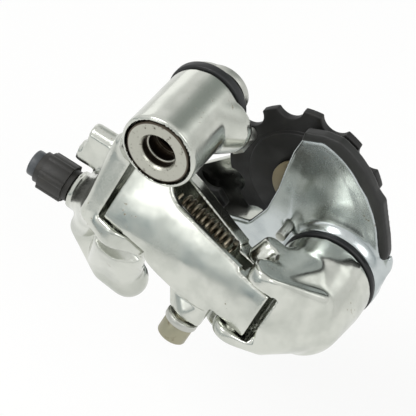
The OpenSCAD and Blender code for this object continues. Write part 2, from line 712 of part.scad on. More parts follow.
module anchor_bolt() color("tan") link_frame(outer_pin_b) translate([anchor_along, anchor_in, 0])
    difference() {
        union() {
            translate([0, 0, anchor_washer_end - anchor_head_t])
                cylinder(r = anchor_head_r, h = anchor_head_t);
            translate([0, 0, anchor_washer_end - 1])
                cylinder(r = anchor_thread_r, h = anchor_boss_end - anchor_washer_end + 1 + anchor_grip);
        }
        translate([0, 0, anchor_washer_end - anchor_head_t - 1])
            cylinder(r = anchor_key_af / (2 * cos(30)), h = anchor_key_depth + 1, $fn = 6);
    }

module anchor_washer() color("silver") link_frame(outer_pin_b)
    translate([anchor_along, anchor_in, anchor_washer_end + run_clear]) difference() {
        cylinder(r = anchor_head_r + 0.5, h = anchor_washer_t - run_clear);
        translate([0, 0, -1]) cylinder(r = anchor_thread_r + run_clear, h = anchor_washer_t + 2);
    }

module inner_link() color("gainsboro") link_frame(inner_pin_b) difference() {
    link_body(inner_link_top, inner_link_top - inner_waist_drop, inner_low_top,
        inner_link_bottom, inner_low_bottom);
    translate([link_shoulder, -link_half_t - 1, inner_link_bottom - 1])
        cube([link_len - 2 * link_shoulder, 1 + inner_link_groove, inner_link_top - inner_link_bottom + 2]);
    link_bores(inner_link_bottom, inner_link_top);
}

// The return spring runs from the outer link's upper pin to the inner link's lower pin
module return_spring() color("rosybrown") {
    span = spring_to - spring_from;
    pin_frame() translate([spring_from.x, spring_from.y, spring_height])
        rotate([0, 90 + spring_dip, atan2(span.y, span.x)]) difference() {
            cylinder(r = return_spring_d / 2, h = norm(span));
            translate([0, 0, -1])
                cylinder(r = return_spring_d / 2 - return_wire_d, h = norm(span) + 2);
        }
}

module lower_knuckle() color("gainsboro") difference() {
    union() {
        at_xz(cage_pivot) {
            ycyl(lower_knuckle_in - 5, lower_knuckle_in, lower_rim_r);
            hull() {
                ycyl(lower_knuckle_in - 6, lower_knuckle_in - 4, lower_rim_r, $fn = 32);
                ycyl(lower_out_y + 5, lower_out_y + 6, lower_barrel_r, $fn = 32);
                ycyl(lower_out_y + 1.5, lower_out_y + 2.5, lower_barrel_r - 2, $fn = 32);
                ycyl(lower_out_y, lower_out_y + 1, lower_barrel_r - 5, $fn = 32);
            }
        }
        // crown that joins the barrel to the ears
        hull() {
            at_xz(cage_pivot) ycyl(lower_out_y + 3, lower_out_y + 9, lower_barrel_r - 2.5, $fn = 32);
            pin_frame() {
                ball(brow_out, 3.2);
                ball(brow_low, 3);
                ball(brow_in, 4);
            }
        }
        // saddle between the two upper ears and the barrel
        hull() {
            at_xz(cage_pivot)
                ycyl(lower_out_y + 9.6, lower_knuckle_in - 3, lower_barrel_r - 0.8, $fn = 32);
            pin_frame() {
                ball(saddle_out, 2.6);
                ball(saddle_in, 3);
            }
        }
        pin_frame() {
            hull() {
                ear(outer_pin_p, outer_low_top + part_gap, outer_low_top + ear_t);
                ball(upper_ear_root, 2.4);
            }
            hull() {
                ear(outer_pin_p, outer_link_bottom - low_ear_t, outer_link_bottom - part_gap);
                ball(lower_ear_front, 2);
                ball(lower_ear_root, 2.2);
            }
            hull() {
                ear(inner_pin_p, inner_low_top + part_gap, inner_low_top + ear_t + 2);
                ball(inner_ear_root, inner_root_r);
            }
            hull() {
                ear(inner_pin_p, inner_low_bottom - ear_t, inner_low_bottom - part_gap);
                ball(inner_low_root, inner_root_r);
            }
        }
        // lug that the cage stop pin rests on
        at_xz(cage_pivot) rotate([0, -stop_pin_angle, 0])
            translate([lower_rim_r - stop_rest, lower_knuckle_in - stop_rest, -stop_pin_r - stop_rest])
            cube([stop_pin_arm - lower_rim_r + stop_rest + 1, stop_rest, stop_rest - eps]);
    }
    at_xz(cage_pivot) {
        ycyl(chamber_end_y, lower_knuckle_in + 1, lower_chamber_r);
        ycyl(axle_end_y, lower_knuckle_in, cage_axle_r + cage_bush_wall);
    }
    pin_frame() {
        // space that the links swing in
        translate([outer_pin_p.x + pin_pocket_r - swing_reach, outer_pin_p.y - swing_out,
                outer_link_bottom - part_gap])
            cube([swing_reach, between_p - outer_pin_p.y + swing_out + eps,
                outer_low_top - outer_link_bottom + 2 * part_gap]);
        translate([inner_pin_p.x + pin_pocket_r - swing_reach, between_p,
                inner_low_bottom - part_gap])
            cube([swing_reach, swing_in, inner_low_top - inner_low_bottom + 2 * part_gap]);
        pbar(outer_pin_p, outer_link_bottom - low_ear_t - 1, outer_low_top + ear_t - 0.6, link_pin_r);
        pbar(inner_pin_p, inner_low_bottom - ear_t - 1, inner_low_top + ear_t, link_pin_r);
    }
}

module lower_link_pins() color("dimgray") pin_frame() {
    pbar(outer_pin_p, outer_link_bottom - low_ear_t, outer_low_top + ear_t - 0.6, link_pin_r);
    pbar(inner_pin_p, inner_low_bottom - ear_t, inner_low_top + ear_t, link_pin_r);
}

module lower_seal() color("black") at_xz(cage_pivot)
    ytube(lower_knuckle_in + 0.02, boss_out_y - 0.02, lower_rim_r + 0.3, lower_rim_r - seal_depth);

module cage_spring() color("dimgray") at_xz(cage_pivot)
    ytube(chamber_end_y + part_gap, lower_knuckle_in - part_gap, lower_chamber_r - part_gap,
        lower_chamber_r - part_gap - pivot_wire_d);

module cage_bush() color("goldenrod") at_xz(cage_pivot)
    ytube(clip_in_y + bush_inset, chamber_end_y, cage_axle_r + cage_bush_wall, cage_axle_r + run_clear);

module cage_axle() color("silver") at_xz(cage_pivot) difference() {
    ycyl(axle_end_y + 0.5, plate_in_y, cage_axle_r);
    ytube(clip_out_y, clip_in_y, cage_axle_r + 1, clip_bore_r);
}

module axle_clip() color("dimgray") at_xz(cage_pivot)
    ytube(clip_out_y, clip_in_y, cage_axle_r + 0.7, clip_bore_r);

module cage_stop_pin() color("silver") at_xz(stop_pin_at)
    ycyl(lower_knuckle_in - stop_pin_lap, plate_out_y + stop_pin_seat, stop_pin_r);

// The outer plate's front edge, which the guard strip lies against
plate_front_edge = concat(
    [guide_at + plate_nose],
    arc(guide_at, plate_front_r, guard_start_angle, guard_end_angle, 14),
    [for (c = guard_foot) guide_at + c]
);

module outer_plate_outline() polygon(concat(
    plate_front_edge,
    [for (c = plate_heel) guide_at + c],
    [cage_pivot + [lower_rim_r + 1.8, 2.6]],
    arc(cage_pivot, lower_rim_r + 0.6, -8, -98, 16),
    arc(tension_at, plate_end_r, -95, -275, 16),
    [for (c = plate_back) guide_at + c]
));

module cage_outer_plate() color("gainsboro") difference() {
    union() {
        yplate(plate_out_y, plate_in_y) outer_plate_outline();
        // domed face that rises to the pivot's boss
        hull() {
            at_xz(cage_pivot) {
                ycyl(boss_out_y, boss_out_y + 0.6, lower_rim_r - 0.2, $fn = 32);
                ycyl(plate_out_y - 1, plate_out_y, lower_rim_r + 0.4, $fn = 32);
            }
            at_xz(guide_at + [8.6, 0]) ycyl(plate_out_y - 1, plate_out_y, 9, $fn = 32);
            at_xz(guide_at + [6.4, 12]) ycyl(plate_out_y - 0.3, plate_out_y, 4, $fn = 32);
        }
        at_xz(tension_at) ycyl(plate_out_y - 1, plate_in_y, plate_end_r - 3);
    }
    at_xz(cage_pivot) ycyl(boss_out_y - 1, plate_in_y + 1, cage_axle_r);
    for (c = [guide_at, tension_at]) at_xz(c)
        ycyl(plate_out_y + 0.5, plate_in_y + 1, pulley_bolt_r);
    at_xz(stop_pin_at) ycyl(boss_out_y - 1, plate_out_y + stop_pin_seat, stop_pin_r);
}

module cage_guard() color("#1c1c1c") yplate(plate_in_y - guard_t, plate_in_y) polygon(concat(
    plate_front_edge,
    [for (c = guard_shin) guide_at + c],
    arc(guide_at, plate_front_r + guard_w, 22, 60, 12),
    [for (c = guard_brow) guide_at + c]
));

module cage_inner_plate() color("gainsboro") difference() {
    hull() {
        at_xz(guide_at) ycyl(far_plate_y, far_plate_y + inner_plate_t, inner_plate_r);
        at_xz((guide_at + tension_at) / 2 - [0, strap_sag])
            ycyl(far_plate_y, far_plate_y + inner_plate_t, inner_plate_r);
        at_xz(tension_at) ycyl(far_plate_y, far_plate_y + inner_plate_t, plate_end_r);
    }
    for (c = [guide_at, tension_at]) at_xz(c)
        ycyl(far_plate_y - 1, far_plate_y + inner_plate_t + 1, pulley_bolt_r + run_clear);
}

// A pulley's toothed outline: each gap is a chain roller's seat, open outwards
module pulley_outline(phase) difference() {
    circle(r = tip_r, $fn = 132);
    for (i = [0:pulley_teeth - 1]) rotate(phase + (i + 0.5) * tooth_angle) {
        translate([pitch_r, 0]) circle(r = roller_r, $fn = 32);
        polygon([[pitch_r, -roller_r], [pitch_r + 4, -roller_r - 1.8],
            [pitch_r + 4, roller_r + 1.8], [pitch_r, roller_r]]);
    }
}

module pulley(phase, bore) difference() {
    union() {
        yplate(pulley_mid - tooth_t / 2, pulley_mid + tooth_t / 2) pulley_outline(phase);
        ycyl(pulley_mid - pulley_hub_t / 2, pulley_mid + pulley_hub_t / 2, pulley_hub_r);
    }
    ycyl(0, 2 * pulley_mid, bore);
}

module guide_pulley() color("#222222") at_xz(guide_at) pulley(tooth_phase, bush_r + run_clear);

module guide_bush() color("beige") at_xz(guide_at)
    ytube(plate_in_y + dust_cap_t, far_plate_y - dust_cap_t, bush_r, pulley_bolt_r + run_clear);

// Two dust caps, one against each cage plate
module caps() for (y = [plate_in_y, far_plate_y - dust_cap_t])
    ytube(y, y + dust_cap_t, dust_cap_r, pulley_bolt_r + run_clear);

module guide_caps() color("tan") at_xz(guide_at) caps();

module tension_caps() color("tan") at_xz(tension_at) caps();

module tension_pulley() color("#222222") at_xz(tension_at) pulley(0, bearing_r);

module bearing_outer_race() color("silver") at_xz(tension_at)
    ytube(pulley_mid - race_w / 2, pulley_mid + race_w / 2, bearing_r, bearing_r - race_t);

module bearing_inner_race() color("silver") at_xz(tension_at)
    ytube(plate_in_y + dust_cap_t, far_plate_y - dust_cap_t, pulley_bolt_r + run_clear + race_t,
        pulley_bolt_r + run_clear);

module bearing_balls() color("silver") at_xz(tension_at) {
    inside = pulley_bolt_r + run_clear + race_t;
    outside = bearing_r - race_t;
    for (i = [0:ball_count - 1]) rotate([0, i * 360 / ball_count, 0])
        translate([(inside + outside) / 2, pulley_mid, 0])
        sphere(r = (outside - inside) / 2 - run_clear);
}

module pulley_bolts() color("silver") for (c = [guide_at, tension_at]) at_xz(c) difference() {
    union() {
        ycyl(plate_out_y + 0.5, far_plate_y + inner_plate_t + 0.5, pulley_bolt_r);
        ycyl(far_plate_y + inner_plate_t, far_plate_y + inner_plate_t + pulley_bolt_head_t,
            pulley_bolt_head_r);
    }
    translate([0, far_plate_y + inner_plate_t + pulley_bolt_head_t - pulley_key_depth, 0])
        rotate([-90, 0, 0]) cylinder(r = pulley_key_af / (2 * cos(30)), h = pulley_key_depth + 1, $fn = 6);
}

hanger_bolt();
stop_plate();
upper_knuckle();
upper_bush();
upper_seal();
upper_spring();
upper_link_pins();
angle_screw();
limit_screw_high();
limit_screw_low();
cable_adjuster();
adjuster_tip();
outer_link();
anchor_bolt();
anchor_washer();
inner_link();
return_spring();
lower_knuckle();
lower_link_pins();
lower_seal();
cage_spring();
cage_bush();
cage_axle();
axle_clip();
cage_stop_pin();
cage_outer_plate();
cage_guard();
cage_inner_plate();
guide_pulley();
guide_bush();
guide_caps();
tension_pulley();
bearing_outer_race();
bearing_inner_race();
bearing_balls();
tension_caps();
pulley_bolts();
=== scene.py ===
# %% [markdown]
# # A rear bicycle derailleur in polished aluminium
# A derailleur is a small four-bar machine: two forged knuckles, two links between them that
# swing on slanted pins, and a sprung cage with two toothed pulleys. The solids of each part
# come in as a fixed frame. Each visible part is then modelled again with the soft forging
# edges, coils, threads and worn polish that the solids leave out.

# %% Load the frame
import json
import math

import bmesh
import bpy
from mathutils import Matrix, Vector


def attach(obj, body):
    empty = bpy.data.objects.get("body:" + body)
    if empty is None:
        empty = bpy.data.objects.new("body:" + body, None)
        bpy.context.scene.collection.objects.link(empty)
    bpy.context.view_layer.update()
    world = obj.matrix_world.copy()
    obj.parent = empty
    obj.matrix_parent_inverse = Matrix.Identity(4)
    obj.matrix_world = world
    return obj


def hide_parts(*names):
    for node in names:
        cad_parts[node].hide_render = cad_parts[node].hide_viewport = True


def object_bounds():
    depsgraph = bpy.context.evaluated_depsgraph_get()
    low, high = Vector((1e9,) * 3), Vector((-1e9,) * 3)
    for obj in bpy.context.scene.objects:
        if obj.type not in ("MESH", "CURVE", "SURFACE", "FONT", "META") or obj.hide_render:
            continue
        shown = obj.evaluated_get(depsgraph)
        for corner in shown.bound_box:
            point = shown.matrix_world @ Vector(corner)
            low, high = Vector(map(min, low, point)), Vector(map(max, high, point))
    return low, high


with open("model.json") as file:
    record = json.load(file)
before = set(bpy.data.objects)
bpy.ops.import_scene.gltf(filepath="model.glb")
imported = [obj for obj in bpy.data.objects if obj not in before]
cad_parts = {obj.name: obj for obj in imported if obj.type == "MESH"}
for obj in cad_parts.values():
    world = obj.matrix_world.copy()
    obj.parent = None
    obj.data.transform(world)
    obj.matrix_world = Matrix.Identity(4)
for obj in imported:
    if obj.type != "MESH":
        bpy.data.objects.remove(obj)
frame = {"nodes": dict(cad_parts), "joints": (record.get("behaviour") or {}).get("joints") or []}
cad_low, cad_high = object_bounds()
MM = 0.001
ALONG_X, ALONG_Y = Vector((1, 0, 0)), Vector((0, 1, 0))
nodes = frame["nodes"]
joints = {joint["name"]: joint for joint in frame["joints"]}
scene = bpy.context.scene

# %% [markdown]
# ## The working frames
# Most parts of this object lie on one of two directions: the wheel's axis, Y, for the barrels
# and the pulleys, and the slanted axis of the link pins. Turning to a frame of its own for the
# slanted parts means that each one can be built upright, with plain numbers in millimetres.
# Pivots come from the joints and reaches from the solids, so nothing here is placed twice.

# %% Pin frame, pivots and pulley centres
pin_axis = Vector(joints["outer_swing"]["axis"]).normalized()
pin_frame = (Matrix.Rotation(math.atan2(pin_axis.x, pin_axis.z), 4, "Y")
             @ Matrix.Rotation(-math.asin(pin_axis.y), 4, "X"))
to_pin_frame = pin_frame.inverted()


def place(joint):
    """Where a joint's axis passes, in millimetres."""
    return Vector(joints[joint]["pos_m"]) / MM


def across(point):
    """A place across the link pins, as [forwards, inboard] in the pin frame."""
    turned = to_pin_frame @ point
    return Vector((turned.x, turned.y))


outer_b = across(place("outer_swing"))
inner_b = across(place("inner_swing"))
outer_p = across(place("lower_swing"))
inner_p = inner_b + outer_p - outer_b
link_way = (outer_p - outer_b).normalized()
link_len = (outer_p - outer_b).length
cage_pivot = place("cage_pivot")
tension_at = place("tension_spin")
adjuster_at = place("adjuster_turn")
rear_way = Vector(joints["adjuster_turn"]["axis"]).normalized()
print("links", round(link_len, 1), "mm; pin frame turned", [round(a, 3) for a in pin_axis])


def spread(node, direction):
    """Lowest and highest reach of a solid along a direction, in millimetres."""
    reach = [vertex.co.dot(direction) / MM for vertex in nodes[node].data.vertices]
    return min(reach), max(reach)


# %% [markdown]
# ## Materials
# Every finish is a node tree, so it holds up close. One small function adds a node, sets it and
# fills its inputs, each with a value or with a link to another node. A second one turns colours,
# written as on a paint card, into the linear values that the shader needs.

# %% Nodes and colours


def linear(code):
    """A hex colour as linear red, green, blue and alpha."""
    parts = [int(code[i:i + 2], 16) / 255 for i in (1, 3, 5)]
    return [c / 12.92 if c <= 0.04045 else ((c + 0.055) / 1.055) ** 2.4 for c in parts] + [1.0]


def add(tree, kind, inputs=None, **settings):
    """Adds a node with its settings. A node given as an input is linked by its active output."""
    node = tree.nodes.new("ShaderNode" + kind)
    for name, value in settings.items():
        setattr(node, name, value)
    for socket, value in (inputs or {}).items():
        if isinstance(value, bpy.types.Node):
            value = next(output for output in value.outputs if output.enabled)
        if isinstance(value, bpy.types.NodeSocket):
            tree.links.new(value, node.inputs[socket])
        else:
            node.inputs[socket].default_value = value
    return node


def new_material(name):
    """An empty material, its node tree and the Object coordinates that patterns read."""
    material = bpy.data.materials.new(name)
    material.use_nodes = True
    tree = material.node_tree
    tree.nodes.clear()
    where = add(tree, "TexCoord").outputs["Object"]
    return material, tree, where


print("mid grey in linear light:", [round(part, 3) for part in linear("#808080")])

# %% [markdown]
# ### Patterns
# Dirt, dust and wear all start from cloudy noise. Its size is given in real millimetres, on
# Object coordinates: each piece sits at the origin with its place in its mesh, so a pattern
# never slides. A Map Range then turns the clouds into patches: its inputs 1 and 2 say where a
# patch begins and is full, and 3 and 4 what that does.

# %% Cloudy grain


def grain(tree, where, size_mm, detail=3.0, stretch=(1, 1, 1)):
    """Cloudy noise whose features are about size_mm wide."""
    turned = add(tree, "Mapping", {"Vector": where, "Scale": stretch})
    return add(tree, "TexNoise", {"Vector": turned, "Scale": 1 / (size_mm * MM),
                                  "Detail": detail})


print("a grain 1 mm wide has a noise scale of", 1 / MM)

# %% [markdown]
# ### Polished forged aluminium
# The knuckles and links are hot forged and then buffed on a wheel. Buffing leaves three things:
# a slow waviness that bends the reflections, hair-fine scratches, and a skin that handling has
# dulled in patches. The waviness is a weak bump 7 mm wide, and the rest is in the roughness.
# Real scratches are a few hundredths of a millimetre wide, too fine to show, so they are drawn
# 0.35 mm wide and faint. Stone chips come in clusters, where the old coat shows brown.

# %% Polished metals


def polished(name, colour, dull, rough=(0.13, 0.27), wave=0.2):
    """Buffed metal: wavy, finely scratched, dulled in patches, with small chips in clusters."""
    material, tree, where = new_material(name)
    patches = grain(tree, where, 9, 4)
    scratches = grain(tree, where, 0.35, 2, (1, 14, 3))
    slow = grain(tree, where, 7, 1)
    clusters = add(tree, "MapRange", {0: grain(tree, where, 14, 2), 1: 0.56, 2: 0.66})
    chips = add(tree, "MapRange", {0: grain(tree, where, 0.9, 4), 1: 0.64, 2: 0.68, 4: 0.75})
    worn = add(tree, "Math", {0: clusters, 1: chips}, operation="MULTIPLY")
    dulled = add(tree, "MapRange", {0: patches, 1: 0.42, 2: 0.72})
    tint = add(tree, "Mix", {0: dulled, 6: linear(colour), 7: linear(dull)}, data_type="RGBA")
    tint = add(tree, "Mix", {0: worn, 6: tint, 7: linear("#85795f")}, data_type="RGBA")
    smear = add(tree, "MapRange", {0: patches, 1: 0.35, 2: 0.7, 3: rough[0], 4: rough[1]})
    scored = add(tree, "MapRange", {0: scratches, 1: 0.5, 2: 0.8, 4: 0.1})
    surface = add(tree, "Math", {0: smear, 1: scored}, operation="ADD")
    pitted = add(tree, "Math", {0: worn, 1: 0.3}, operation="MULTIPLY")
    surface = add(tree, "Math", {0: surface, 1: pitted}, operation="ADD")
    waves = add(tree, "Bump", {"Strength": wave, "Distance": 0.5 * MM, "Height": slow})
    lines = add(tree, "Bump", {"Strength": 0.05, "Distance": 0.02 * MM, "Height": scratches,
                               "Normal": waves})
    shader = add(tree, "BsdfPrincipled", {"Base Color": tint, "Metallic": 1.0,
                                          "Roughness": surface, "Normal": lines})
    add(tree, "OutputMaterial", {"Surface": shader})
    return material


# Forged and buffed: nearly white, with sharp reflections that waver
polished_aluminium = polished("polished_forged_aluminium", "#cfd1c9", "#b6b9b1")
# Pressed and buffed less: bluer and darker, with flatter, smeared reflections
plate_aluminium = polished("polished_pressed_aluminium", "#c2c8c8", "#a1a9aa",
                           rough=(0.16, 0.28), wave=0.18)
print("polished metals:", polished_aluminium.name, "and", plate_aluminium.name)

# %% [markdown]
# ### Turned and pressed steel
# The hanger bolt, the screws and the small plates are turned or pressed and then plated. Their
# shine is duller than the forgings', with specks of dried grease, and on the bolt painted shade
# darkens the bore and the rim round its head. Plating is grained more finely than a render
# shows, so the grain is drawn 0.25 mm wide.

# %% Satin metals


def from_axis(tree, where):
    """Distance from the hanger bolt's axis."""
    flat = add(tree, "VectorMath", {0: where, 1: (1, 0, 1)}, operation="MULTIPLY")
    return add(tree, "VectorMath", {0: flat}, operation="LENGTH")


def satin(name, colour, grime_and_shade, rough=(0.28, 0.45), grime_size=2.5, grime_level=0.62,
          unshaded_bands=()):
    """Plated metal with a fine grain and small spots of dried grease.

    Each band given is a ring about the bolt's axis, from one radius to another in millimetres,
    that keeps its plain colour: everywhere else is painted shade in the dark colour.
    """
    material, tree, where = new_material(name)
    fine = grain(tree, where, 0.25, 2)
    spots = grain(tree, where, grime_size, 5)
    dirt_and_shade = add(tree, "MapRange", {0: spots, 1: grime_level, 2: grime_level + 0.12, 4: 0.85})
    kept = 0.0
    for inner, outer in unshaded_bands:
        away = from_axis(tree, where)
        begun = add(tree, "MapRange", {0: away, 1: (inner - 0.1) * MM, 2: inner * MM})
        ended = add(tree, "MapRange", {0: away, 1: outer * MM, 2: (outer + 0.15) * MM, 3: 1, 4: 0})
        band = add(tree, "Math", {0: begun, 1: ended}, operation="MULTIPLY")
        kept = add(tree, "Math", {0: kept, 1: band}, operation="MAXIMUM")
    # Outside the bands the dark colour is painted shade: in the bolt's bore and round its head
    if unshaded_bands:
        painted_shade = add(tree, "MapRange", {0: kept, 3: 0.9, 4: 0})
        dirt_and_shade = add(tree, "Math", {0: dirt_and_shade, 1: painted_shade}, operation="MAXIMUM")
    tint = add(tree, "Mix", {0: dirt_and_shade, 6: linear(colour), 7: linear(grime_and_shade)}, data_type="RGBA")
    surface = add(tree, "MapRange", {0: spots, 1: 0.3, 2: 0.8, 3: rough[0], 4: rough[1]})
    bump = add(tree, "Bump", {"Strength": 0.12, "Distance": 0.03 * MM, "Height": fine})
    shader = add(tree, "BsdfPrincipled", {"Base Color": tint, "Metallic": 1.0,
                                          "Roughness": surface, "Normal": bump})
    add(tree, "OutputMaterial", {"Surface": shader})
    return material


# Zinc-plated steel: an even grey shine, with specks of grease
satin_steel = satin("satin_plated_steel", "#bcbdb6", "#6f6250", grime_size=1.4, grime_level=0.68)
# A turned bolt, pale on its face, with specks of grease; painted shade in dark brown fills its
# bore and head rim
bolt_alloy = satin("turned_bolt_alloy", "#b6b6ab", "#43362a", rough=(0.3, 0.45), grime_size=0.9,
                   grime_level=0.6, unshaded_bands=((4.0, 4.2), (4.5, 7.9)))
# The cable's anchor is clamped and handled often, which yellows and dulls it
anchor_steel = satin("handled_anchor_steel", "#a19e89", "#6f6450", rough=(0.35, 0.5))
# Oiled spring steel: dark, bright only along its edges
dark_steel = satin("oiled_spring_steel", "#5a5652", "#2d2925")
# The same steel out in the spray of the wheel, with brown grime between its coils
grimy_spring = satin("grimy_spring_steel", "#8b8473", "#3d3427", grime_level=0.45)
# Pressed and sintered bronze soaked with oil: brown, with a weak shine
bronze = satin("sintered_bronze", "#a5835a", "#5d4a33")
print("six satin metals, from", satin_steel.name, "to", bronze.name)

# %% [markdown]
# ### Rubber and resin
# The seals are rubber, and the adjuster's grip, the pulleys and the chain guard are moulded
# resin. All are near black: what tells them apart is how sharply they reflect and how much
# grey dust lies in their texture. The pebbled skin of a mould is finer than a render shows, so
# it is drawn 0.3 mm wide, and 0.5 mm on the grip, which is coarse for the fingers.

# %% Rubber and resins


def moulded(name, colour, dust, rough=(0.35, 0.55), pebble_mm=0.3):
    """Moulded resin or rubber: fine pebbled grain and a film of dust in patches."""
    material, tree, where = new_material(name)
    pebble = grain(tree, where, pebble_mm, 2)
    film = grain(tree, where, 4, 5)
    dusty = add(tree, "MapRange", {0: film, 1: 0.55, 2: 0.75, 4: 0.6})
    tint = add(tree, "Mix", {0: dusty, 6: linear(colour), 7: linear(dust)}, data_type="RGBA")
    surface = add(tree, "MapRange", {0: film, 1: 0.3, 2: 0.7, 3: rough[0], 4: rough[1]})
    bump = add(tree, "Bump", {"Strength": 0.25, "Distance": 0.05 * MM, "Height": pebble})
    shader = add(tree, "BsdfPrincipled", {"Base Color": tint, "Roughness": surface,
                                          "Normal": bump})
    add(tree, "OutputMaterial", {"Surface": shader})
    return material


# Nitrile rubber: blue-black with a soft sheen, wiped clean by the parts that turn in it
seal_rubber = moulded("seal_rubber", "#0f1113", "#232424", rough=(0.35, 0.55))
# Glass-filled nylon with a coarse skin: it scatters light and holds grey dust
grip_resin = moulded("grip_resin", "#22211e", "#3d3a33", rough=(0.4, 0.6), pebble_mm=0.5)
# Acetal pulleys, rubbed matt by the chain and brown with its oil
pulley_resin = moulded("pulley_resin", "#0c0c0a", "#24221c", rough=(0.45, 0.62))
# The guard strip is the same kind of resin, scuffed grey
guard_resin = moulded("guard_resin", "#171816", "#2f302d", rough=(0.4, 0.55))
# Natural nylon dust caps: horn-coloured
cap_resin = moulded("dust_cap_resin", "#8a7f63", "#5e553f", rough=(0.35, 0.5))
# Anodising seals dye in the alloy's oxide, so the tip looks like grey enamel, not bare metal
tip_alloy = moulded("anodised_tip", "#43474a", "#5d6062", rough=(0.3, 0.45))
print("six moulded finishes, from", seal_rubber.name, "to", tip_alloy.name)

# %% [markdown]
# ## Modelling helpers
# Two ways of making a part cover this object. A turned or pressed part starts from its solid:
# a copy is merged, its flat faces are joined, and its sharp edges are bevelled. A forging
# starts from overlapping lumps, as in clay: they are fused on a fine grid, smoothed until they
# flow together, and then bored and pocketed with sharp cutters, as the factory machines it.
# Every finished piece rides on the body that it moves with, and hides the solid it stands for.

# %% Finished pieces
# Creases flatter than this many degrees are shaded smooth on a forging
SOFT = 60


def shown(mesh, name, body, material, replaced, smooth_angle=35):
    """Turns a mesh into a finished piece on a body, standing for the named solid."""
    mesh.name = name
    mesh.materials.clear()
    mesh.materials.append(material)
    mesh.shade_smooth()
    mesh.set_sharp_from_angle(angle=math.radians(smooth_angle))
    piece = bpy.data.objects.new(name, mesh)
    scene.collection.objects.link(piece)
    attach(piece, body)
    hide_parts(replaced)


def to_mesh(bm, name):
    """Writes a bmesh to a new mesh and frees it."""
    mesh = bpy.data.meshes.new(name)
    bm.to_mesh(mesh)
    bm.free()
    return mesh


def merged_copy(node):
    """A bmesh copy of a solid with its loose triangles joined. The solid is left alone."""
    bm = bmesh.new()
    bm.from_mesh(nodes[node].data)
    bmesh.ops.remove_doubles(bm, verts=bm.verts, dist=0.003 * MM)
    return bm


def rounded_copy(node, radius, segments=2):
    """A copy of a solid with its sharp edges rounded by a radius in millimetres."""
    bm = merged_copy(node)
    bmesh.ops.dissolve_limit(bm, angle_limit=math.radians(0.8), verts=bm.verts, edges=bm.edges)
    sharp = math.radians(30)
    edges = [e for e in bm.edges if e.is_manifold and e.calc_face_angle() > sharp]
    bmesh.ops.bevel(bm, geom=edges, offset=radius * MM, offset_type="OFFSET", segments=segments,
                    profile=0.5, affect="EDGES", clamp_overlap=True, material=-1)
    return to_mesh(bm, node)


for solid in nodes.values():
    for slot in solid.material_slots:
        slot.material = satin_steel
print(len(nodes), "solids under the pieces are plated too")

# %% [markdown]
# ## Turned and pressed parts
# The bolts, screws, washers, plates and rings are machine-made shapes, so each keeps its solid's
# shape. What makes them look made is the small bevel that every lathe, press and mould leaves,
# wide enough to catch a line of light. The radius is that of the real edge, in millimetres.

# %% Bevelled parts
machined = (
    ("stop_plate", 0.3, "hanger_side", satin_steel),
    ("angle_screw", 0.15, "angle_screw", satin_steel),
    ("upper_bush", 0.1, "upper_knuckle", bronze),
    ("upper_link_pins", 0.3, "upper_knuckle", satin_steel),
    ("limit_screw_high", 0.12, "high_screw", satin_steel),
    ("limit_screw_low", 0.12, "low_screw", satin_steel),
    ("anchor_washer", 0.3, "outer_link", satin_steel),
    ("lower_link_pins", 0.3, "lower_knuckle", satin_steel),
    ("cage_bush", 0.1, "lower_knuckle", bronze),
    ("cage_axle", 0.25, "cage", satin_steel),
    ("axle_clip", 0.08, "cage", dark_steel),
    ("cage_stop_pin", 0.25, "cage", satin_steel),
    ("guide_bush", 0.15, "cage", cap_resin),
    ("guide_caps", 0.25, "cage", cap_resin),
    ("tension_caps", 0.25, "cage", cap_resin),
    ("bearing_outer_race", 0.15, "tension_pulley", satin_steel),
    ("bearing_inner_race", 0.15, "cage", satin_steel),
    ("pulley_bolts", 0.3, "cage", satin_steel),
    ("adjuster_tip", 0.4, "adjuster", tip_alloy),
    ("cable_adjuster", 0.35, "adjuster", grip_resin),
    ("guide_pulley", 0.35, "guide_pulley", pulley_resin),
    ("tension_pulley", 0.35, "tension_pulley", pulley_resin),
)
for node, radius, body, material in machined:
    shown(rounded_copy(node, radius), node + "_finished", body, material, node)
print(len(machined), "bevelled parts")

# %% [markdown]
# ## Forgings
# A forging has no sharp outer edge: metal was squeezed into a die and its lumps run into each
# other. Balls, bars and stretched skins give the lumps their places, a voxel grid fuses them,
# and a smoothing pass makes the blends. These are the clay and the knives, in millimetres.

# %% Lumps and cutters


def ball(centre, radius):
    """A ball."""
    bm = bmesh.new()
    bmesh.ops.create_icosphere(bm, subdivisions=3, radius=radius,
                               matrix=Matrix.Translation(centre))
    return bm


def rod(start, end, radius, end_radius=None, sides=64):
    """A round bar or cone between two places."""
    bm = bmesh.new()
    way = Vector(end) - Vector(start)
    turn = way.to_track_quat("Z", "Y").to_matrix().to_4x4()
    middle = Matrix.Translation((Vector(start) + Vector(end)) / 2)
    bmesh.ops.create_cone(bm, cap_ends=True, segments=sides, radius1=radius,
                          radius2=radius if end_radius is None else end_radius,
                          depth=way.length, matrix=middle @ turn)
    return bm


def block(low, high, turn=Matrix.Identity(4)):
    """A square block between two corners, in a turned frame."""
    low, high = Vector(low), Vector(high)
    bm = bmesh.new()
    bmesh.ops.create_cube(bm, size=1, matrix=turn @ Matrix.Translation((low + high) / 2)
                          @ Matrix.Diagonal((*(high - low), 1)))
    return bm


def dish(centre, way, up, radii):
    """A ball stretched along two directions, for carving a hollow."""
    way = Vector(way).normalized()
    side = Vector(up).cross(way).normalized()
    turn = Matrix((way, side, way.cross(side))).transposed().to_4x4()
    bm = bmesh.new()
    bmesh.ops.create_icosphere(bm, subdivisions=4, radius=1, matrix=Matrix.Translation(centre)
                               @ turn @ Matrix.Diagonal((*radii, 1)))
    return bm


def joined(parts):
    """Gathers several closed shapes in one bmesh."""
    whole = bmesh.new()
    for part in parts:
        mesh = to_mesh(part, "part")
        whole.from_mesh(mesh)
        bpy.data.meshes.remove(mesh)
    return whole


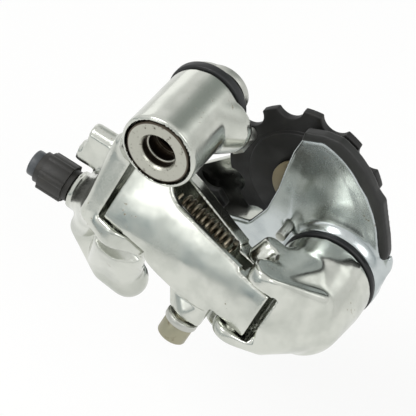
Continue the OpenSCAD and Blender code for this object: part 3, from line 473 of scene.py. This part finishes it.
def wrapped(*parts):
    """One convex skin stretched round several shapes."""
    bm = joined(parts)
    bmesh.ops.delete(bm, geom=bm.edges[:] + bm.faces[:], context="EDGES_FACES")
    made = bmesh.ops.convex_hull(bm, input=bm.verts)
    inner = {v for v in made["geom_interior"] if isinstance(v, bmesh.types.BMVert)}
    bmesh.ops.delete(bm, geom=list(inner), context="VERTS")
    return bm


print("a ball of radius 1 mm has", len(ball((0, 0, 0), 1).faces), "faces before it is fused")

# %% [markdown]
# ### Fusing, cutting and easing
# A voxel grid fuses the lumps into one skin, and a smoothing pass lets them run together. Only
# after that are the pockets and bores cut, as on a milling machine. A last and finer grid with
# two light rounds breaks their edges as the buffing wheel does. Each step is a modifier that
# is applied at once, so no piece carries a live one.

# %% Forging steps
# Grid sizes: of a blank, of its finished edges, and of a copy of a solid
BLANK_GRID, EDGE_GRID, COPY_GRID = 0.42, 0.36, 0.34


def as_object(mesh, name):
    """A working object in the scene."""
    made = bpy.data.objects.new(name, mesh)
    scene.collection.objects.link(made)
    return made


def applied(made):
    """The mesh that an object's modifiers make. The object itself is removed."""
    graph = bpy.context.evaluated_depsgraph_get()
    mesh = bpy.data.meshes.new_from_object(made.evaluated_get(graph))
    raw = made.data
    bpy.data.objects.remove(made)
    bpy.data.meshes.remove(raw)
    return mesh


def eased(mesh, grid, rounds):
    """Lays an even grid over a mesh and smooths it, which softens every edge."""
    work = as_object(mesh, "work")
    cells = work.modifiers.new("grid", "REMESH")
    cells.mode = "VOXEL"
    cells.voxel_size = grid
    flow = work.modifiers.new("flow", "SMOOTH")
    flow.iterations = rounds
    return applied(work)


def fused(parts, rounds):
    """Fuses overlapping shapes and smooths them until they run together."""
    return eased(to_mesh(joined(parts), "lumps"), BLANK_GRID, rounds)


def cut_out(mesh, cutters):
    """Cuts closed shapes out of a mesh, one after another."""
    blank = as_object(mesh, "blank")
    tools = [as_object(to_mesh(cutter, "cutter"), "cutter") for cutter in cutters]
    for tool in tools:
        cut = blank.modifiers.new("cut", "BOOLEAN")
        cut.operation = "DIFFERENCE"
        cut.solver = "MANIFOLD"
        cut.object = tool
    made = applied(blank)
    for tool in tools:
        raw = tool.data
        bpy.data.objects.remove(tool)
        bpy.data.meshes.remove(raw)
    return made


def in_metres(mesh):
    """Scales a mesh that was built in millimetres."""
    mesh.transform(Matrix.Diagonal((MM, MM, MM, 1)))
    return mesh


print("grids: blank", BLANK_GRID, "mm, finished edges", EDGE_GRID, "mm")

# %% [markdown]
# ## The upper knuckle
# The upper knuckle hangs on the bolt. Its barrel holds the bolt and the upper spring, a neck
# leads down to a crown behind the links, and four ears hold the link pins. Behind the crown
# are the bosses of the two limit screws and of the cable adjuster. Below the links a skirt
# closes the forging. Its sizes come first, those along the pins counted in the pin frame.

# %% Upper knuckle: sizes
barrel_front = spread("hanger_bolt", ALONG_Y)[0]
barrel_back = spread("upper_seal", ALONG_Y)[0]
barrel_r, bolt_seat_r, bush_seat_r, chamber_r = 10.0, 8.95, 7.2, 8.3
web_front, web_back = -21, -18.4
link_half_t = 3.2
pin_pocket_r = link_half_t + 2.2
pocket_depth, pocket_reach = 16, 34
lap, gap = 0.01, 0.35
outer_top, outer_low_top, outer_bottom = -19.4, -28.0, -41.8
inner_top, inner_low_top = -18.6, -30.0
inner_bottom, inner_low_bottom = -52.0, -46.5
ear_t, ear_r, low_ear_t = 4.8, 4.6, 3.4
screw_boss_r, adjuster_boss_r, boss_len = 2.9, 5.4, 9.0
screw_seat_r, adjuster_bore_r = 2.35, 2.95
high_screw_at = place("high_screw_turn")
low_screw_at = place("low_screw_turn")


def near(pin, height, offset):
    """A place counted from a link pin: forwards, inboard and along the pins."""
    return pin_frame @ Vector((pin.x + offset[0], pin.y + offset[1], height + offset[2]))


def ear(pin, low, high, radius=ear_r):
    """A round ear about a pin."""
    return rod(near(pin, low, (0, 0, 0)), near(pin, high, (0, 0, 0)), radius, sides=40)


print("upper knuckle: barrel from", round(barrel_front, 1), "to", round(barrel_back, 1), "mm")

# %% [markdown]
# ### The upper knuckle's blank
# Each lump is a skin stretched round a few balls and bars, as a hand would press clay over
# them. Neighbours share an ear or a ball, so that no seam opens between them. Sixteen
# smoothing rounds leave the facets of the crown readable and melt the joins.

# %% Upper knuckle: forging
lumps = [
    # The barrel, and the lobe beside its inboard end
    rod((0, barrel_front, 0), (0, barrel_back, 0), barrel_r),
    wrapped(rod((0, barrel_back - 8, 0), (0, barrel_back - 7, 0), barrel_r),
            rod((5.5, barrel_back - 2.4, -3.3), (5.5, barrel_back, -3.3), 8)),
    # The neck, from the barrel to the two upper ears
    wrapped(rod((0, barrel_front + 4, 0), (0, barrel_back - 3, 0), barrel_r - 0.2),
            ball(near(outer_b, outer_top, (-7.8, 0.3, -3.4)), 3.4),
            ball(near(inner_b, inner_top, (-5.8, 0, -3.4)), 3.6),
            ear(outer_b, outer_top + gap, outer_top + ear_t),
            ear(inner_b, inner_top + gap, inner_top + ear_t)),
    # The crown behind the links, and the narrow facet along its outboard edge
    wrapped(ball(near(outer_b, outer_top, (-8, 0.3, -4)), 3.6),
            ball(near(inner_b, inner_top, (-6, 0, -4)), 3.8),
            ball(near(outer_b, outer_bottom, (-7.6, 1, -1.5)), 3.6),
            ball(near(inner_b, inner_bottom, (-5.8, 0, -4)), 4)),
    wrapped(ball(near(outer_b, outer_top, (-5.8, -1.6, 1)), 1.8),
            ball(near(outer_b, outer_top, (-9.6, 0, -3)), 3),
            ball(near(outer_b, outer_bottom, (-5.8, -1.2, -1)), 1.8),
            ball(near(outer_b, outer_bottom, (-7.8, 0.4, -1.4)), 3)),
    # The skirt's inboard and outboard halves, each with a lower ear
    wrapped(ear(inner_b, inner_bottom - ear_t, inner_bottom - gap),
            ball(near(inner_b, inner_bottom, (-5, 0.6, -4.6)), 4.2),
            ball(near(inner_b, inner_bottom, (5.4, 0.4, -9.2)), 5.2),
            ball(near(inner_b, inner_bottom, (11.6, 0.4, -9)), 5.5)),
    wrapped(ear(outer_b, outer_bottom - 4.4, outer_bottom - gap),
            ball(near(outer_b, outer_bottom, (6.6, 1.8, -3.6)), 3),
            ball(near(inner_b, inner_bottom, (3.4, -0.6, -8.2)), 4.6),
            ball(near(inner_b, inner_bottom, (10.4, -0.4, -8.2)), 4.6)),
    # The web from the outboard lower ear back to the crown
    wrapped(ear(outer_b, outer_bottom - ear_t, outer_bottom - gap),
            ball(near(outer_b, outer_bottom, (-8, 1, -2.4)), 3.2)),
    # The shoulder that the three rear bosses stand on
    wrapped(ball(high_screw_at - boss_len * rear_way, screw_boss_r - 0.2),
            ball(low_screw_at - boss_len * rear_way, screw_boss_r - 0.2),
            ball(adjuster_at - boss_len * rear_way, adjuster_boss_r - 0.6),
            ball(near(inner_b, inner_top, (-5.6, 0.2, -4.4)), 3.2)),
    # The adjuster's boss run into the crown, and the web between the limit screws
    wrapped(rod(adjuster_at - (boss_len + 2) * rear_way, adjuster_at - 1.4 * rear_way,
                adjuster_boss_r),
            ball(near(outer_b, outer_bottom, (-8.4, 2, 6)), 3.4),
            ball(near(outer_b, outer_bottom, (-7.8, 1.6, -2)), 3.4)),
    wrapped(rod(high_screw_at - boss_len * rear_way, high_screw_at - rear_way, screw_boss_r),
            rod(low_screw_at - boss_len * rear_way, low_screw_at - rear_way, screw_boss_r)),
    # The three bosses' round ends
    rod(high_screw_at - boss_len * rear_way, high_screw_at, screw_boss_r + 0.2),
    rod(low_screw_at - boss_len * rear_way, low_screw_at, screw_boss_r + 0.2),
    rod(adjuster_at - (boss_len + 2) * rear_way, adjuster_at, adjuster_boss_r + 0.1),
]
blank = fused(lumps, 16)
print("upper knuckle's blank:", len(lumps), "lumps,", len(blank.polygons), "faces")

# %% [markdown]
# ### The upper knuckle's pockets and bores
# The links swing in two square pockets, which meet between the links. The dish is hollowed like
# the bowl of a spoon, which saves metal. Easing rounds off the bolt's seat and the adjuster's
# bore, where other parts sit, so those two are cut once more, as a reamer follows a drill.

# %% Upper knuckle: pockets and bores
middle_b = (outer_b.y + inner_b.y) / 2
seat_from, seat_to = (0, barrel_front - 5, 0), (0, web_front, 0)
adjuster_bore = (adjuster_at - 8 * rear_way, adjuster_at + rear_way, adjuster_bore_r)
cutters = [
    # Along the barrel: the bolt's seat, the bush, the spring's chamber and the seal's face
    rod(seat_from, seat_to, bolt_seat_r),
    rod((0, web_front - 1, 0), (0, -10, 0), bush_seat_r),
    rod((0, web_back, 0), (0, barrel_back + 1, 0), chamber_r),
    rod((0, barrel_back, 0), (0, 9, 0), barrel_r + 1.2),
    # The two pockets and the dish
    block((outer_b.x - pin_pocket_r, middle_b - pocket_depth, outer_bottom - gap),
          (outer_b.x + pocket_reach, middle_b, outer_top + gap), pin_frame),
    block((inner_b.x - pin_pocket_r, middle_b - lap, inner_bottom - gap),
          (inner_b.x + pocket_reach, middle_b + pocket_depth, inner_top + gap), pin_frame),
    dish((-14.6, -25.2, -41), (11, 0.6, -4.6), (0, -0.95, -0.3), (9.4, 2.9, 5)),
    # The sunk seats of the limit screws, and the adjuster's bore
    rod(high_screw_at - 2 * rear_way, high_screw_at + rear_way, screw_seat_r),
    rod(low_screw_at - 2 * rear_way, low_screw_at + rear_way, screw_seat_r),
    rod(*adjuster_bore),
]
knuckle = eased(cut_out(blank, cutters), EDGE_GRID, 2)
reamers = [rod(seat_from, seat_to, bolt_seat_r + 0.12, sides=96), rod(*adjuster_bore)]
knuckle = in_metres(cut_out(knuckle, reamers))
shown(knuckle, "upper_knuckle_forging", "upper_knuckle", polished_aluminium, "upper_knuckle",
      smooth_angle=SOFT)
print("upper knuckle:", len(knuckle.polygons), "faces")

# %% [markdown]
# ## The lower knuckle
# The lower knuckle is the mirror partner of the upper one: its barrel holds the cage's pivot
# and spring, and its ears hold the links' lower pins. A ridge runs from the foremost ear over
# the crown, where two die faces met, and the polish turns it into a bright line. The barrel's
# closed end is domed by three discs that shrink outwards and lean, as its die face did.

# %% Lower knuckle: sizes
knuckle_in = spread("cage_spring", ALONG_Y)[1] + gap
knuckle_out = knuckle_in - 23
rim_r, lower_r = 13.0, 11.8
lower_chamber_r, lower_chamber_depth, axle_bore_r = 8.0, 13, 5.0
dome = ((7, 0.1), (4.4, 1.6), (2.8, 4.4))
lean = Vector((0, -0.974, 0.225))


def pivot_at(y):
    """A place on the cage pivot's axis."""
    return Vector((cage_pivot.x, y, cage_pivot.z))


ridge_end = pivot_at(-14.6) + Vector((6.4, 0, 7.4))
print("lower knuckle: barrel from", round(knuckle_out, 1), "to", round(knuckle_in, 1), "mm")

# %% [markdown]
# ### The lower knuckle's blank
# It is pressed from lumps in the same way. The foremost ear's arm and the ridge end in the same
# place on the crown. Twenty-six rounds melt it further than the upper knuckle, whose crown
# keeps its facets.

# %% Lower knuckle: forging
lumps = [
    # The barrel with its dome
    wrapped(rod(pivot_at(knuckle_in - 6), pivot_at(knuckle_in), rim_r),
            *[rod(pivot_at(knuckle_out + inset), pivot_at(knuckle_out + inset) - lean,
                  lower_r - drop) for inset, drop in dome]),
    # The crown, from the dome to the ears of the outer link
    wrapped(rod(pivot_at(knuckle_out + 5), pivot_at(knuckle_out + 5) - 4 * lean, lower_r - 2),
            ear(outer_p, outer_low_top + gap, outer_low_top + ear_t - 0.2, 4.5),
            ball(ridge_end, 2.4),
            ball(near(outer_p, outer_bottom, (9, 0, 1.4)), 3.2),
            ball(near(inner_p, inner_low_top, (9, -2, 1)), 4.2)),
    # The ridge
    wrapped(ear(outer_p, outer_low_top + gap, outer_low_top + ear_t),
            ball(near(outer_p, outer_low_top, (6, 4.4, 1.4)), 2.6),
            ball(ridge_end, 2.2)),
    # The outer link's lower ear and its arm
    wrapped(ear(outer_p, outer_bottom - low_ear_t, outer_bottom - gap),
            ball(near(outer_p, outer_bottom, (-3.2, 2.4, -2.6)), 2.2),
            ball(near(outer_p, outer_bottom, (8.6, 0.4, -0.6)), 2.4)),
    # The tapered lug over the inner link's pin
    wrapped(rod(near(inner_p, inner_low_top, (0, 0, gap)),
                near(inner_p, inner_low_top, (0, 0, ear_t + 2)), 4.6, 2.6, sides=12),
            ball(near(inner_p, inner_low_top, (10, -1, 2)), 4.2)),
    # The saddle between the two upper ears
    wrapped(rod(pivot_at(knuckle_out + 9.6), pivot_at(knuckle_in - 3), lower_r - 0.6),
            ball(near(outer_p, outer_low_top, (3.4, 0.8, 2)), 2.8),
            ball(near(inner_p, inner_low_top, (3.4, -0.8, 3.4)), 3.2)),
    # The inner link's lower ear and its arm
    wrapped(ear(inner_p, inner_low_bottom - ear_t, inner_low_bottom - gap),
            ball(near(inner_p, inner_low_bottom, (9, -4, 2)), 4.2)),
]
blank = fused(lumps, 26)
print("lower knuckle's blank:", len(lumps), "lumps,", len(blank.polygons), "faces")

# %% [markdown]
# ### The lower knuckle's pockets and bores
# The cage's spring sits in a wide chamber, open inboard, and the axle's bore runs on from it
# towards the closed end. The links' pockets open to the rear here, and a last cutter faces the
# inboard end flat for the seal.

# %% Lower knuckle: pockets and bores
middle_p = (outer_p.y + inner_p.y) / 2
cutters = [
    rod(pivot_at(knuckle_in - lower_chamber_depth), pivot_at(knuckle_in + 5), lower_chamber_r),
    rod(pivot_at(knuckle_out + 3.5), pivot_at(knuckle_in), axle_bore_r),
    block((outer_p.x + pin_pocket_r - pocket_reach, outer_p.y - 12, outer_bottom - gap),
          (outer_p.x + pin_pocket_r, middle_p, outer_low_top + gap), pin_frame),
    block((inner_p.x + pin_pocket_r - pocket_reach, middle_p - lap, inner_low_bottom - gap),
          (inner_p.x + pin_pocket_r, middle_p + pocket_depth, inner_low_top + gap), pin_frame),
    rod(pivot_at(knuckle_in), pivot_at(knuckle_in + 8), rim_r + 9),
]
knuckle = in_metres(eased(cut_out(blank, cutters), EDGE_GRID, 2))
shown(knuckle, "lower_knuckle_forging", "lower_knuckle", polished_aluminium, "lower_knuckle",
      smooth_angle=SOFT)
print("lower knuckle:", len(knuckle.polygons), "faces")

# %% [markdown]
# ## The links
# Two forged links join the knuckles and swing on the slanted pins. Their solids already have
# the right walls and bores, so each link starts from a copy of its solid under a fine grid,
# turned to a frame that runs from its upper to its lower pin.

# %% Link frame and fine grid


def gridded(node, grid=COPY_GRID):
    """A copy of a solid on a fine grid, in millimetres."""
    bm = merged_copy(node)
    bmesh.ops.scale(bm, vec=(1 / MM, 1 / MM, 1 / MM), verts=bm.verts)
    return eased(to_mesh(bm, node), grid, 1)


def link_frame(pin):
    """The frame of a link: x from its upper to its lower pin, z along the pins."""
    turn = Matrix.Rotation(math.atan2(link_way.y, link_way.x), 4, "Z")
    return pin_frame @ Matrix.Translation((pin.x, pin.y, 0)) @ turn


frame_of_link = link_frame(outer_b)
print("the link's frame starts at", [round(a, 1) for a in frame_of_link.translation], "mm")

# %% [markdown]
# ### The outer link
# The outer link is the face of the derailleur. It is a U-shaped forging with a crest along its
# face: above the crest the face leans back, and below it the face rolls under. The crest runs
# from the lower edge at the upper pins to the upper edge at the lower pins. The grid makes this
# a simple bend: its outer wall is pushed in on both sides of the crest, further with the square
# of the distance, so the crest itself stays a soft line.

# %% Outer link
upper_crest, lower_crest = -41.0, -31.0
belly_bottom = outer_bottom - 3.4
roll_in, lean_in = 1.8, 1.2
wall_from, wall_t = 1.6, 3
link = gridded("outer_link")
link.transform(frame_of_link.inverted())
for vertex in link.vertices:
    along, depth, height = vertex.co
    in_wall = min(max((wall_from - depth) / wall_t, 0), 1)
    share = min(max(along / link_len, 0), 1)
    crest = upper_crest + (lower_crest - upper_crest) * share
    if height < crest:
        fall = min((crest - height) / (crest - belly_bottom), 1)
        vertex.co.y = depth + in_wall * roll_in * fall * fall
    else:
        rise = (height - crest) / (outer_top - crest)
        vertex.co.y = depth + in_wall * lean_in * rise * rise
link.transform(frame_of_link)
link = in_metres(eased(link, 0.3, 3))
shown(link, "outer_link_forging", "outer_link", polished_aluminium, "outer_link",
      smooth_angle=SOFT)
print("outer link:", len(link.polygons), "faces")

# %% [markdown]
# ### The inner link
# Its partner hides most of the inner link, and its walls are plain. Three easing rounds give it
# the soft edges of a forging, and nothing is bent.

# %% Inner link
inner = in_metres(eased(gridded("inner_link"), COPY_GRID, 3))
shown(inner, "inner_link_forging", "inner_link", polished_aluminium, "inner_link",
      smooth_angle=SOFT)
print("inner link:", len(inner.polygons), "faces")

# %% [markdown]
# ## The cage's outer plate
# The outer plate is pressed from thick sheet, and its boss is drawn up round the pivot. Sheet
# can't turn a square corner, so it climbs to the boss in a curve: every point of the copy's face
# that lies near the boss's foot is moved onto a cubic fillet, and eight easing rounds take the
# ripples out.

# %% Outer plate
plate = gridded("cage_outer_plate", 0.4)
boss_face, plate_back = spread("cage_outer_plate", ALONG_Y)
plate_t, foot_from, foot_to, swell = 2.0, 13.2, 16.8, 0.12
plate_face = plate_back - plate_t
for vertex in plate.vertices:
    rise = plate_face - vertex.co.y
    away = math.hypot(vertex.co.x - cage_pivot.x, vertex.co.z - cage_pivot.z)
    if rise > 0 and away > foot_from - 0.4:
        fillet = min(max((foot_to - away) / (foot_to - foot_from), 0), 1)
        vertex.co.y = plate_face - max((plate_face - boss_face) * fillet ** 3, swell * rise)
plate = in_metres(eased(plate, EDGE_GRID, 8))
shown(plate, "cage_outer_plate_forging", "cage", plate_aluminium, "cage_outer_plate",
      smooth_angle=SOFT)
print("outer plate:", len(plate.polygons), "faces")

# %% [markdown]
# ### The guard strip
# A moulded strip on the plate's rim keeps the chain off the metal. Resin leaves its mould with
# rounder edges than metal leaves a press, so it gets six easing rounds on the finest grid.

# %% Guard strip
guard = in_metres(eased(gridded("cage_guard"), 0.3, 6))
shown(guard, "cage_guard_strip", "cage", guard_resin, "cage_guard", smooth_angle=SOFT)
print("guard strip:", len(guard.polygons), "faces")

# %% [markdown]
# ## Springs
# Each spring is a wire swept along a helix. A circle is turned about the axis while it climbs,
# which is what a spring-winding lathe does. One function winds all three springs.

# %% Coils
# Steps in one turn of wire
COIL_STEPS = 26


def coil(start, end, outer_r, wire_r, turns):
    """A helical wire between two places, in millimetres."""
    start, end = Vector(start), Vector(end)
    bm = bmesh.new()
    way = end - start
    turn = way.to_track_quat("Z", "X").to_matrix().to_4x4()
    made = bmesh.ops.create_circle(bm, cap_ends=True, segments=10, radius=wire_r)
    bmesh.ops.rotate(bm, verts=made["verts"], cent=(0, 0, 0),
                     matrix=Matrix.Rotation(math.radians(90), 3, "X"))
    bmesh.ops.translate(bm, verts=made["verts"], vec=(outer_r - wire_r, 0, wire_r))
    climb = (way.length - 2 * wire_r) / (turns * COIL_STEPS)
    bmesh.ops.spin(bm, geom=bm.verts[:] + bm.edges[:] + bm.faces[:], cent=(0, 0, 0),
                   axis=(0, 0, 1), dvec=(0, 0, climb), angle=2 * math.pi * turns,
                   steps=turns * COIL_STEPS)
    bmesh.ops.recalc_face_normals(bm, faces=bm.faces)
    bmesh.ops.transform(bm, matrix=Matrix.Translation(start) @ turn, verts=bm.verts)
    return bm


print("a turn of wire has", COIL_STEPS, "steps")

# %% [markdown]
# ### The return spring
# The return spring lies slanted between the links and pulls the cage back outboard. Its two
# ends are the middles of its solid's end slices. It rides whole on the outer link: the real one
# stretches as the links swing, and this wire doesn't.

# %% Return spring
to_link = frame_of_link.inverted()
spring_points = [to_link @ (v.co / MM) for v in nodes["return_spring"].data.vertices]
first = min(point.x for point in spring_points)
last = max(point.x for point in spring_points)
end_slice = 0.9


def end_centre(points, low, high):
    """The middle of the points whose distance along the link lies in a range."""
    chosen = [point for point in points if low <= point.x <= high]
    return sum(chosen, Vector()) / len(chosen)


spring_start = frame_of_link @ end_centre(spring_points, first, first + end_slice)
spring_end = frame_of_link @ end_centre(spring_points, last - end_slice, last)
wire = coil(spring_start, spring_end, outer_r=3.0, wire_r=0.5, turns=11)
wire = in_metres(to_mesh(wire, "return_spring"))
shown(wire, "return_spring_wire", "outer_link", grimy_spring, "return_spring", smooth_angle=SOFT)
print("return spring:", round((spring_end - spring_start).length, 1), "mm long")

# %% [markdown]
# ### The pivot springs
# Two thicker springs sit in the barrels' chambers: one turns the body about the hanger bolt,
# the other turns the cage. Both are hidden, so each is wound plainly from end to end.

# %% Pivot springs
BOLT_AXIS = Vector((0, 0, 0))
for node, body, centre, outer_r, turns in (
        ("upper_spring", "upper_knuckle", BOLT_AXIS, 7.95, 7),
        ("cage_spring", "lower_knuckle", cage_pivot, 7.65, 6)):
    low_y, high_y = spread(node, ALONG_Y)
    wire = coil((centre.x, low_y, centre.z), (centre.x, high_y, centre.z), outer_r, 0.8, turns)
    shown(in_metres(to_mesh(wire, node)), node + "_wire", body, dark_steel, node,
          smooth_angle=SOFT)
    print(node, "wound in", turns, "turns")

# %% [markdown]
# ## Seals
# The two seals are rubber rings with round lips, moulded in a ring-shaped cavity. The section of
# such a ring is drawn once, with each lip as a quarter circle, and spun about its axis.

# %% Turned rings


def lathed(profile):
    """Spins a closed profile of (radius, distance along Y) points about the Y axis."""
    bm = bmesh.new()
    verts = [bm.verts.new((radius, y, 0)) for radius, y in profile]
    edges = [bm.edges.new((verts[i - 1], verts[i])) for i in range(len(verts))]
    bmesh.ops.spin(bm, geom=verts + edges, cent=(0, 0, 0), axis=(0, 1, 0), dvec=(0, 0, 0),
                   angle=2 * math.pi, steps=96, use_merge=True)
    bmesh.ops.remove_doubles(bm, verts=bm.verts, dist=0.001)
    bmesh.ops.recalc_face_normals(bm, faces=bm.faces)
    return bm


def lipped(inner_r, outer_r, low, high, round_off):
    """A ring's profile whose outer corners are rounded."""
    arc = [(math.sin(a), math.cos(a)) for a in (0, math.pi / 6, math.pi / 3, math.pi / 2)]
    edge = outer_r - round_off
    top = [(edge + round_off * s, high - round_off + round_off * c) for s, c in arc]
    bottom = [(edge + round_off * s, low + round_off - round_off * c) for s, c in reversed(arc)]
    return [(inner_r, low), (inner_r, high)] + top + bottom


for node, body, centre in (("upper_seal", "upper_knuckle", BOLT_AXIS),
                           ("lower_seal", "lower_knuckle", cage_pivot)):
    low_y, high_y = spread(node, ALONG_Y)
    outer_r = spread(node, ALONG_X)[1] - centre.x
    ring = lathed(lipped(outer_r - 2.2, outer_r, low_y, high_y, 0.5))
    bmesh.ops.translate(ring, verts=ring.verts, vec=(centre.x, 0, centre.z))
    shown(in_metres(to_mesh(ring, node)), node + "_ring", body, seal_rubber, node,
          smooth_angle=40)
    print(node, "has a radius of", round(outer_r, 1), "mm")

# %% [markdown]
# ## The hanger bolt
# The hanger bolt is turned from bar: its whole outline, with the deep bore, a ring inside the
# bore and the fine thread at its far end, is one profile. A real thread is a helix. At this
# pitch grooves look the same and close on themselves, so the bolt stays one closed shape. The
# key's six-sided socket is then cut at the bottom of the bore.

# %% Hanger bolt
front, tip = spread("hanger_bolt", ALONG_Y)
head_r, head_t, shank_r, shank_end = 8.6, 4.6, 6.0, -1.2
thread_r, thread_pitch, thread_depth = 5.0, 1.0, 0.45
bore_r, bore_depth, key_corner_r = 4.4, 6.5, 3.46
bore_end = front + bore_depth
outline = [(0, bore_end), (bore_r, bore_end), (bore_r, front + 3.4),
           (bore_r - 0.4, front + 3.2), (bore_r - 0.4, front + 2.8), (bore_r, front + 2.6),
           (bore_r, front + 0.9), (bore_r + 0.25, front + 0.4), (bore_r + 0.7, front),
           (head_r - 0.8, front), (head_r - 0.3, front + 0.2), (head_r, front + 0.8),
           (head_r, front + head_t), (shank_r, front + head_t), (shank_r, shank_end)]
thread_at = 0.0
while thread_at < tip - thread_pitch:
    outline += [(thread_r, thread_at), (thread_r - thread_depth, thread_at + thread_pitch / 2)]
    thread_at += thread_pitch
outline += [(thread_r, tip - 0.6), (thread_r - 0.7, tip), (0, tip)]
socket = rod((0, bore_end - 1, 0), (0, bore_end + 4, 0), key_corner_r, sides=6)
bolt = cut_out(to_mesh(lathed(outline), "bolt"), [socket])
shown(in_metres(bolt), "hanger_bolt_finished", "hanger_side", bolt_alloy, "hanger_bolt")
print("hanger bolt:", round(tip - front, 1), "mm long")

# %% [markdown]
# ## The anchor bolt and the inner plate
# These two are bevelled copies like the first parts. The anchor bolt clamps the cable, and a
# third segment makes its larger bevel round. The inner plate is buffed as bright as the
# forgings, so it takes their finish.

# %% Anchor bolt and inner plate
anchor = rounded_copy("anchor_bolt", 0.4, segments=3)
shown(anchor, "anchor_bolt_finished", "outer_link", anchor_steel, "anchor_bolt")
inner_plate = rounded_copy("cage_inner_plate", 0.35)
shown(inner_plate, "cage_inner_plate_finished", "cage", polished_aluminium, "cage_inner_plate")
print("anchor bolt and inner plate:", len(anchor.polygons) + len(inner_plate.polygons), "faces")

# %% [markdown]
# ## Camera
# The camera looks down at the outboard side from the front, through a long lens that keeps the
# barrels' ends nearly round. Its place and its two axes are written out, so it never depends on
# what it looks at.

# %% Camera
camera_data = bpy.data.cameras.new("camera")
camera_data.sensor_width = 36
camera_data.lens = 134.288308
camera_data.clip_start = 0.01
camera_data.clip_end = 20
camera = bpy.data.objects.new("camera", camera_data)
scene.collection.objects.link(camera)
camera_at = Vector((150.713, -272.297, 223.497)) * MM
right = Vector((0.87223, 0.4891, 0.00132))
up = Vector((-0.31467, 0.55908, 0.76708))
turned = Matrix((right, up, right.cross(up))).transposed().to_4x4()
camera.matrix_world = Matrix.Translation(camera_at) @ turned
scene.camera = camera
scene.view_settings.view_transform = "Standard"
print("camera", round(camera_at.length / MM), "mm from the hanger bolt")

# %% [markdown]
# ## The room
# Polished metal shows only what stands around it, so the world is a soft studio. It is pale all
# round and white overhead. Toward the camera's side it has a blue-grey band at the horizon, and
# high behind the object an unlit stretch of wall. Those two draw the forms.

# %% World
world = bpy.data.worlds.new("studio")
world.use_nodes = True
scene.world = world
tree = world.node_tree
tree.nodes.clear()
way = add(tree, "TexCoord").outputs["Generated"]
height = add(tree, "SeparateXYZ", {0: way}).outputs["Z"]
rising = add(tree, "MapRange", {0: height, 1: -1})
lit = add(tree, "MapRange", {0: rising, 1: 0.4, 2: 0.56})
pale = add(tree, "Mix", {0: lit, 6: linear("#d9dbd7"), 7: linear("#ffffff")}, data_type="RGBA")
studio = add(tree, "ValToRGB", {"Fac": rising})
stops = studio.color_ramp.elements
stops[0].position, stops[0].color = 0.0, linear("#d0d1cc")
stops[1].position, stops[1].color = 1.0, linear("#ffffff")
for position, colour in ((0.485, "#b0b5b1"), (0.5, "#5f7078"), (0.512, "#7b8f98"),
                         (0.53, "#b9c6c9"), (0.55, "#e9eeee"), (0.58, "#ffffff")):
    stops.new(position).color = linear(colour)
forward = add(tree, "VectorMath", {0: way, 1: (-0.3, -0.95, 0)}, operation="DOT_PRODUCT")
facing = add(tree, "MapRange", {0: forward, 1: -0.15, 2: 0.45})
sky = add(tree, "Mix", {0: facing, 6: pale, 7: studio}, data_type="RGBA")
toward = add(tree, "VectorMath", {0: way, 1: (0.25, 0.8, 0.55)}, operation="DOT_PRODUCT")
shade = add(tree, "MapRange", {0: toward, 1: 0.86, 2: 0.98, 4: 0.8})
sky = add(tree, "Mix", {0: shade, 6: sky, 7: linear("#7d8983")}, data_type="RGBA")
glow = add(tree, "Background", {"Color": sky, "Strength": 0.9})
add(tree, "OutputWorld", {"Surface": glow})
print("the horizon band has", len(stops), "stops")

# %% [markdown]
# ## The floor
# The floor is a large white sheet below the lowest point that the cage can swing to. Where the
# camera or a reflection sees it, seven tenths of it shine white by themselves, so it stays white
# without more light on the object. The rest is matt and keeps the object's shadow.

# %% Floor
teeth_reach = 24
cage_reach = (tension_at - cage_pivot).length + teeth_reach
floor_z = (cage_pivot.z - cage_reach) * MM
bpy.ops.mesh.primitive_plane_add(size=6, location=(0, 0, floor_z))
floor = bpy.context.object
floor.name = "floor"
material, tree, where = new_material("white_floor")
path = add(tree, "LightPath").outputs
matt = add(tree, "BsdfDiffuse", {"Color": linear("#f4f4f2")})
bright = add(tree, "Emission", {"Color": linear("#ffffff"), "Strength": 1.0})
seen = add(tree, "Math", {0: path["Is Camera Ray"], 1: path["Is Glossy Ray"]},
           operation="MAXIMUM")
seen = add(tree, "Math", {0: seen, 1: path["Is Transmission Ray"]}, operation="MAXIMUM")
share = add(tree, "Math", {0: seen, 1: 0.7}, operation="MULTIPLY")
both = add(tree, "MixShader", {0: share, 1: matt, 2: bright})
add(tree, "OutputMaterial", {"Surface": both})
floor.data.materials.append(material)
print("floor at a height of", round(floor_z / MM, 1), "mm")

# %% [markdown]
# ## Lamps
# Five soft square lamps look at the middle of the object. The key makes the shadow, the fill
# opens it, and the small low one lifts the outer link's face from the front. Two weak ones
# behind edge the barrels and pulleys. All are wide, because a polished face mirrors a lamp's
# outline.

# %% Lamps


def lamp(name, at, size, power):
    """A soft square lamp that looks at the middle of the object."""
    data = bpy.data.lights.new(name, "AREA")
    data.size = size
    data.energy = power
    made = bpy.data.objects.new(name, data)
    made.location = at
    aim = (cad_low + cad_high) / 2 - Vector(at)
    made.rotation_euler = aim.to_track_quat("-Z", "Y").to_euler()
    scene.collection.objects.link(made)
    return made


lamp("key", (-0.25, -0.35, 0.6), 0.35, 1.6)
lamp("fill", (0.5, -0.3, 0.35), 0.3, 0.8)
lamp("low front", (-0.27, -0.6, 0.125), 0.16, 0.1)
lamp("rear left", (-0.5, 0.5, 0.2), 0.3, 0.12)
lamp("rear right", (0.55, 0.42, 0.4), 0.3, 0.25)
print("lamps:", len(bpy.data.lights))
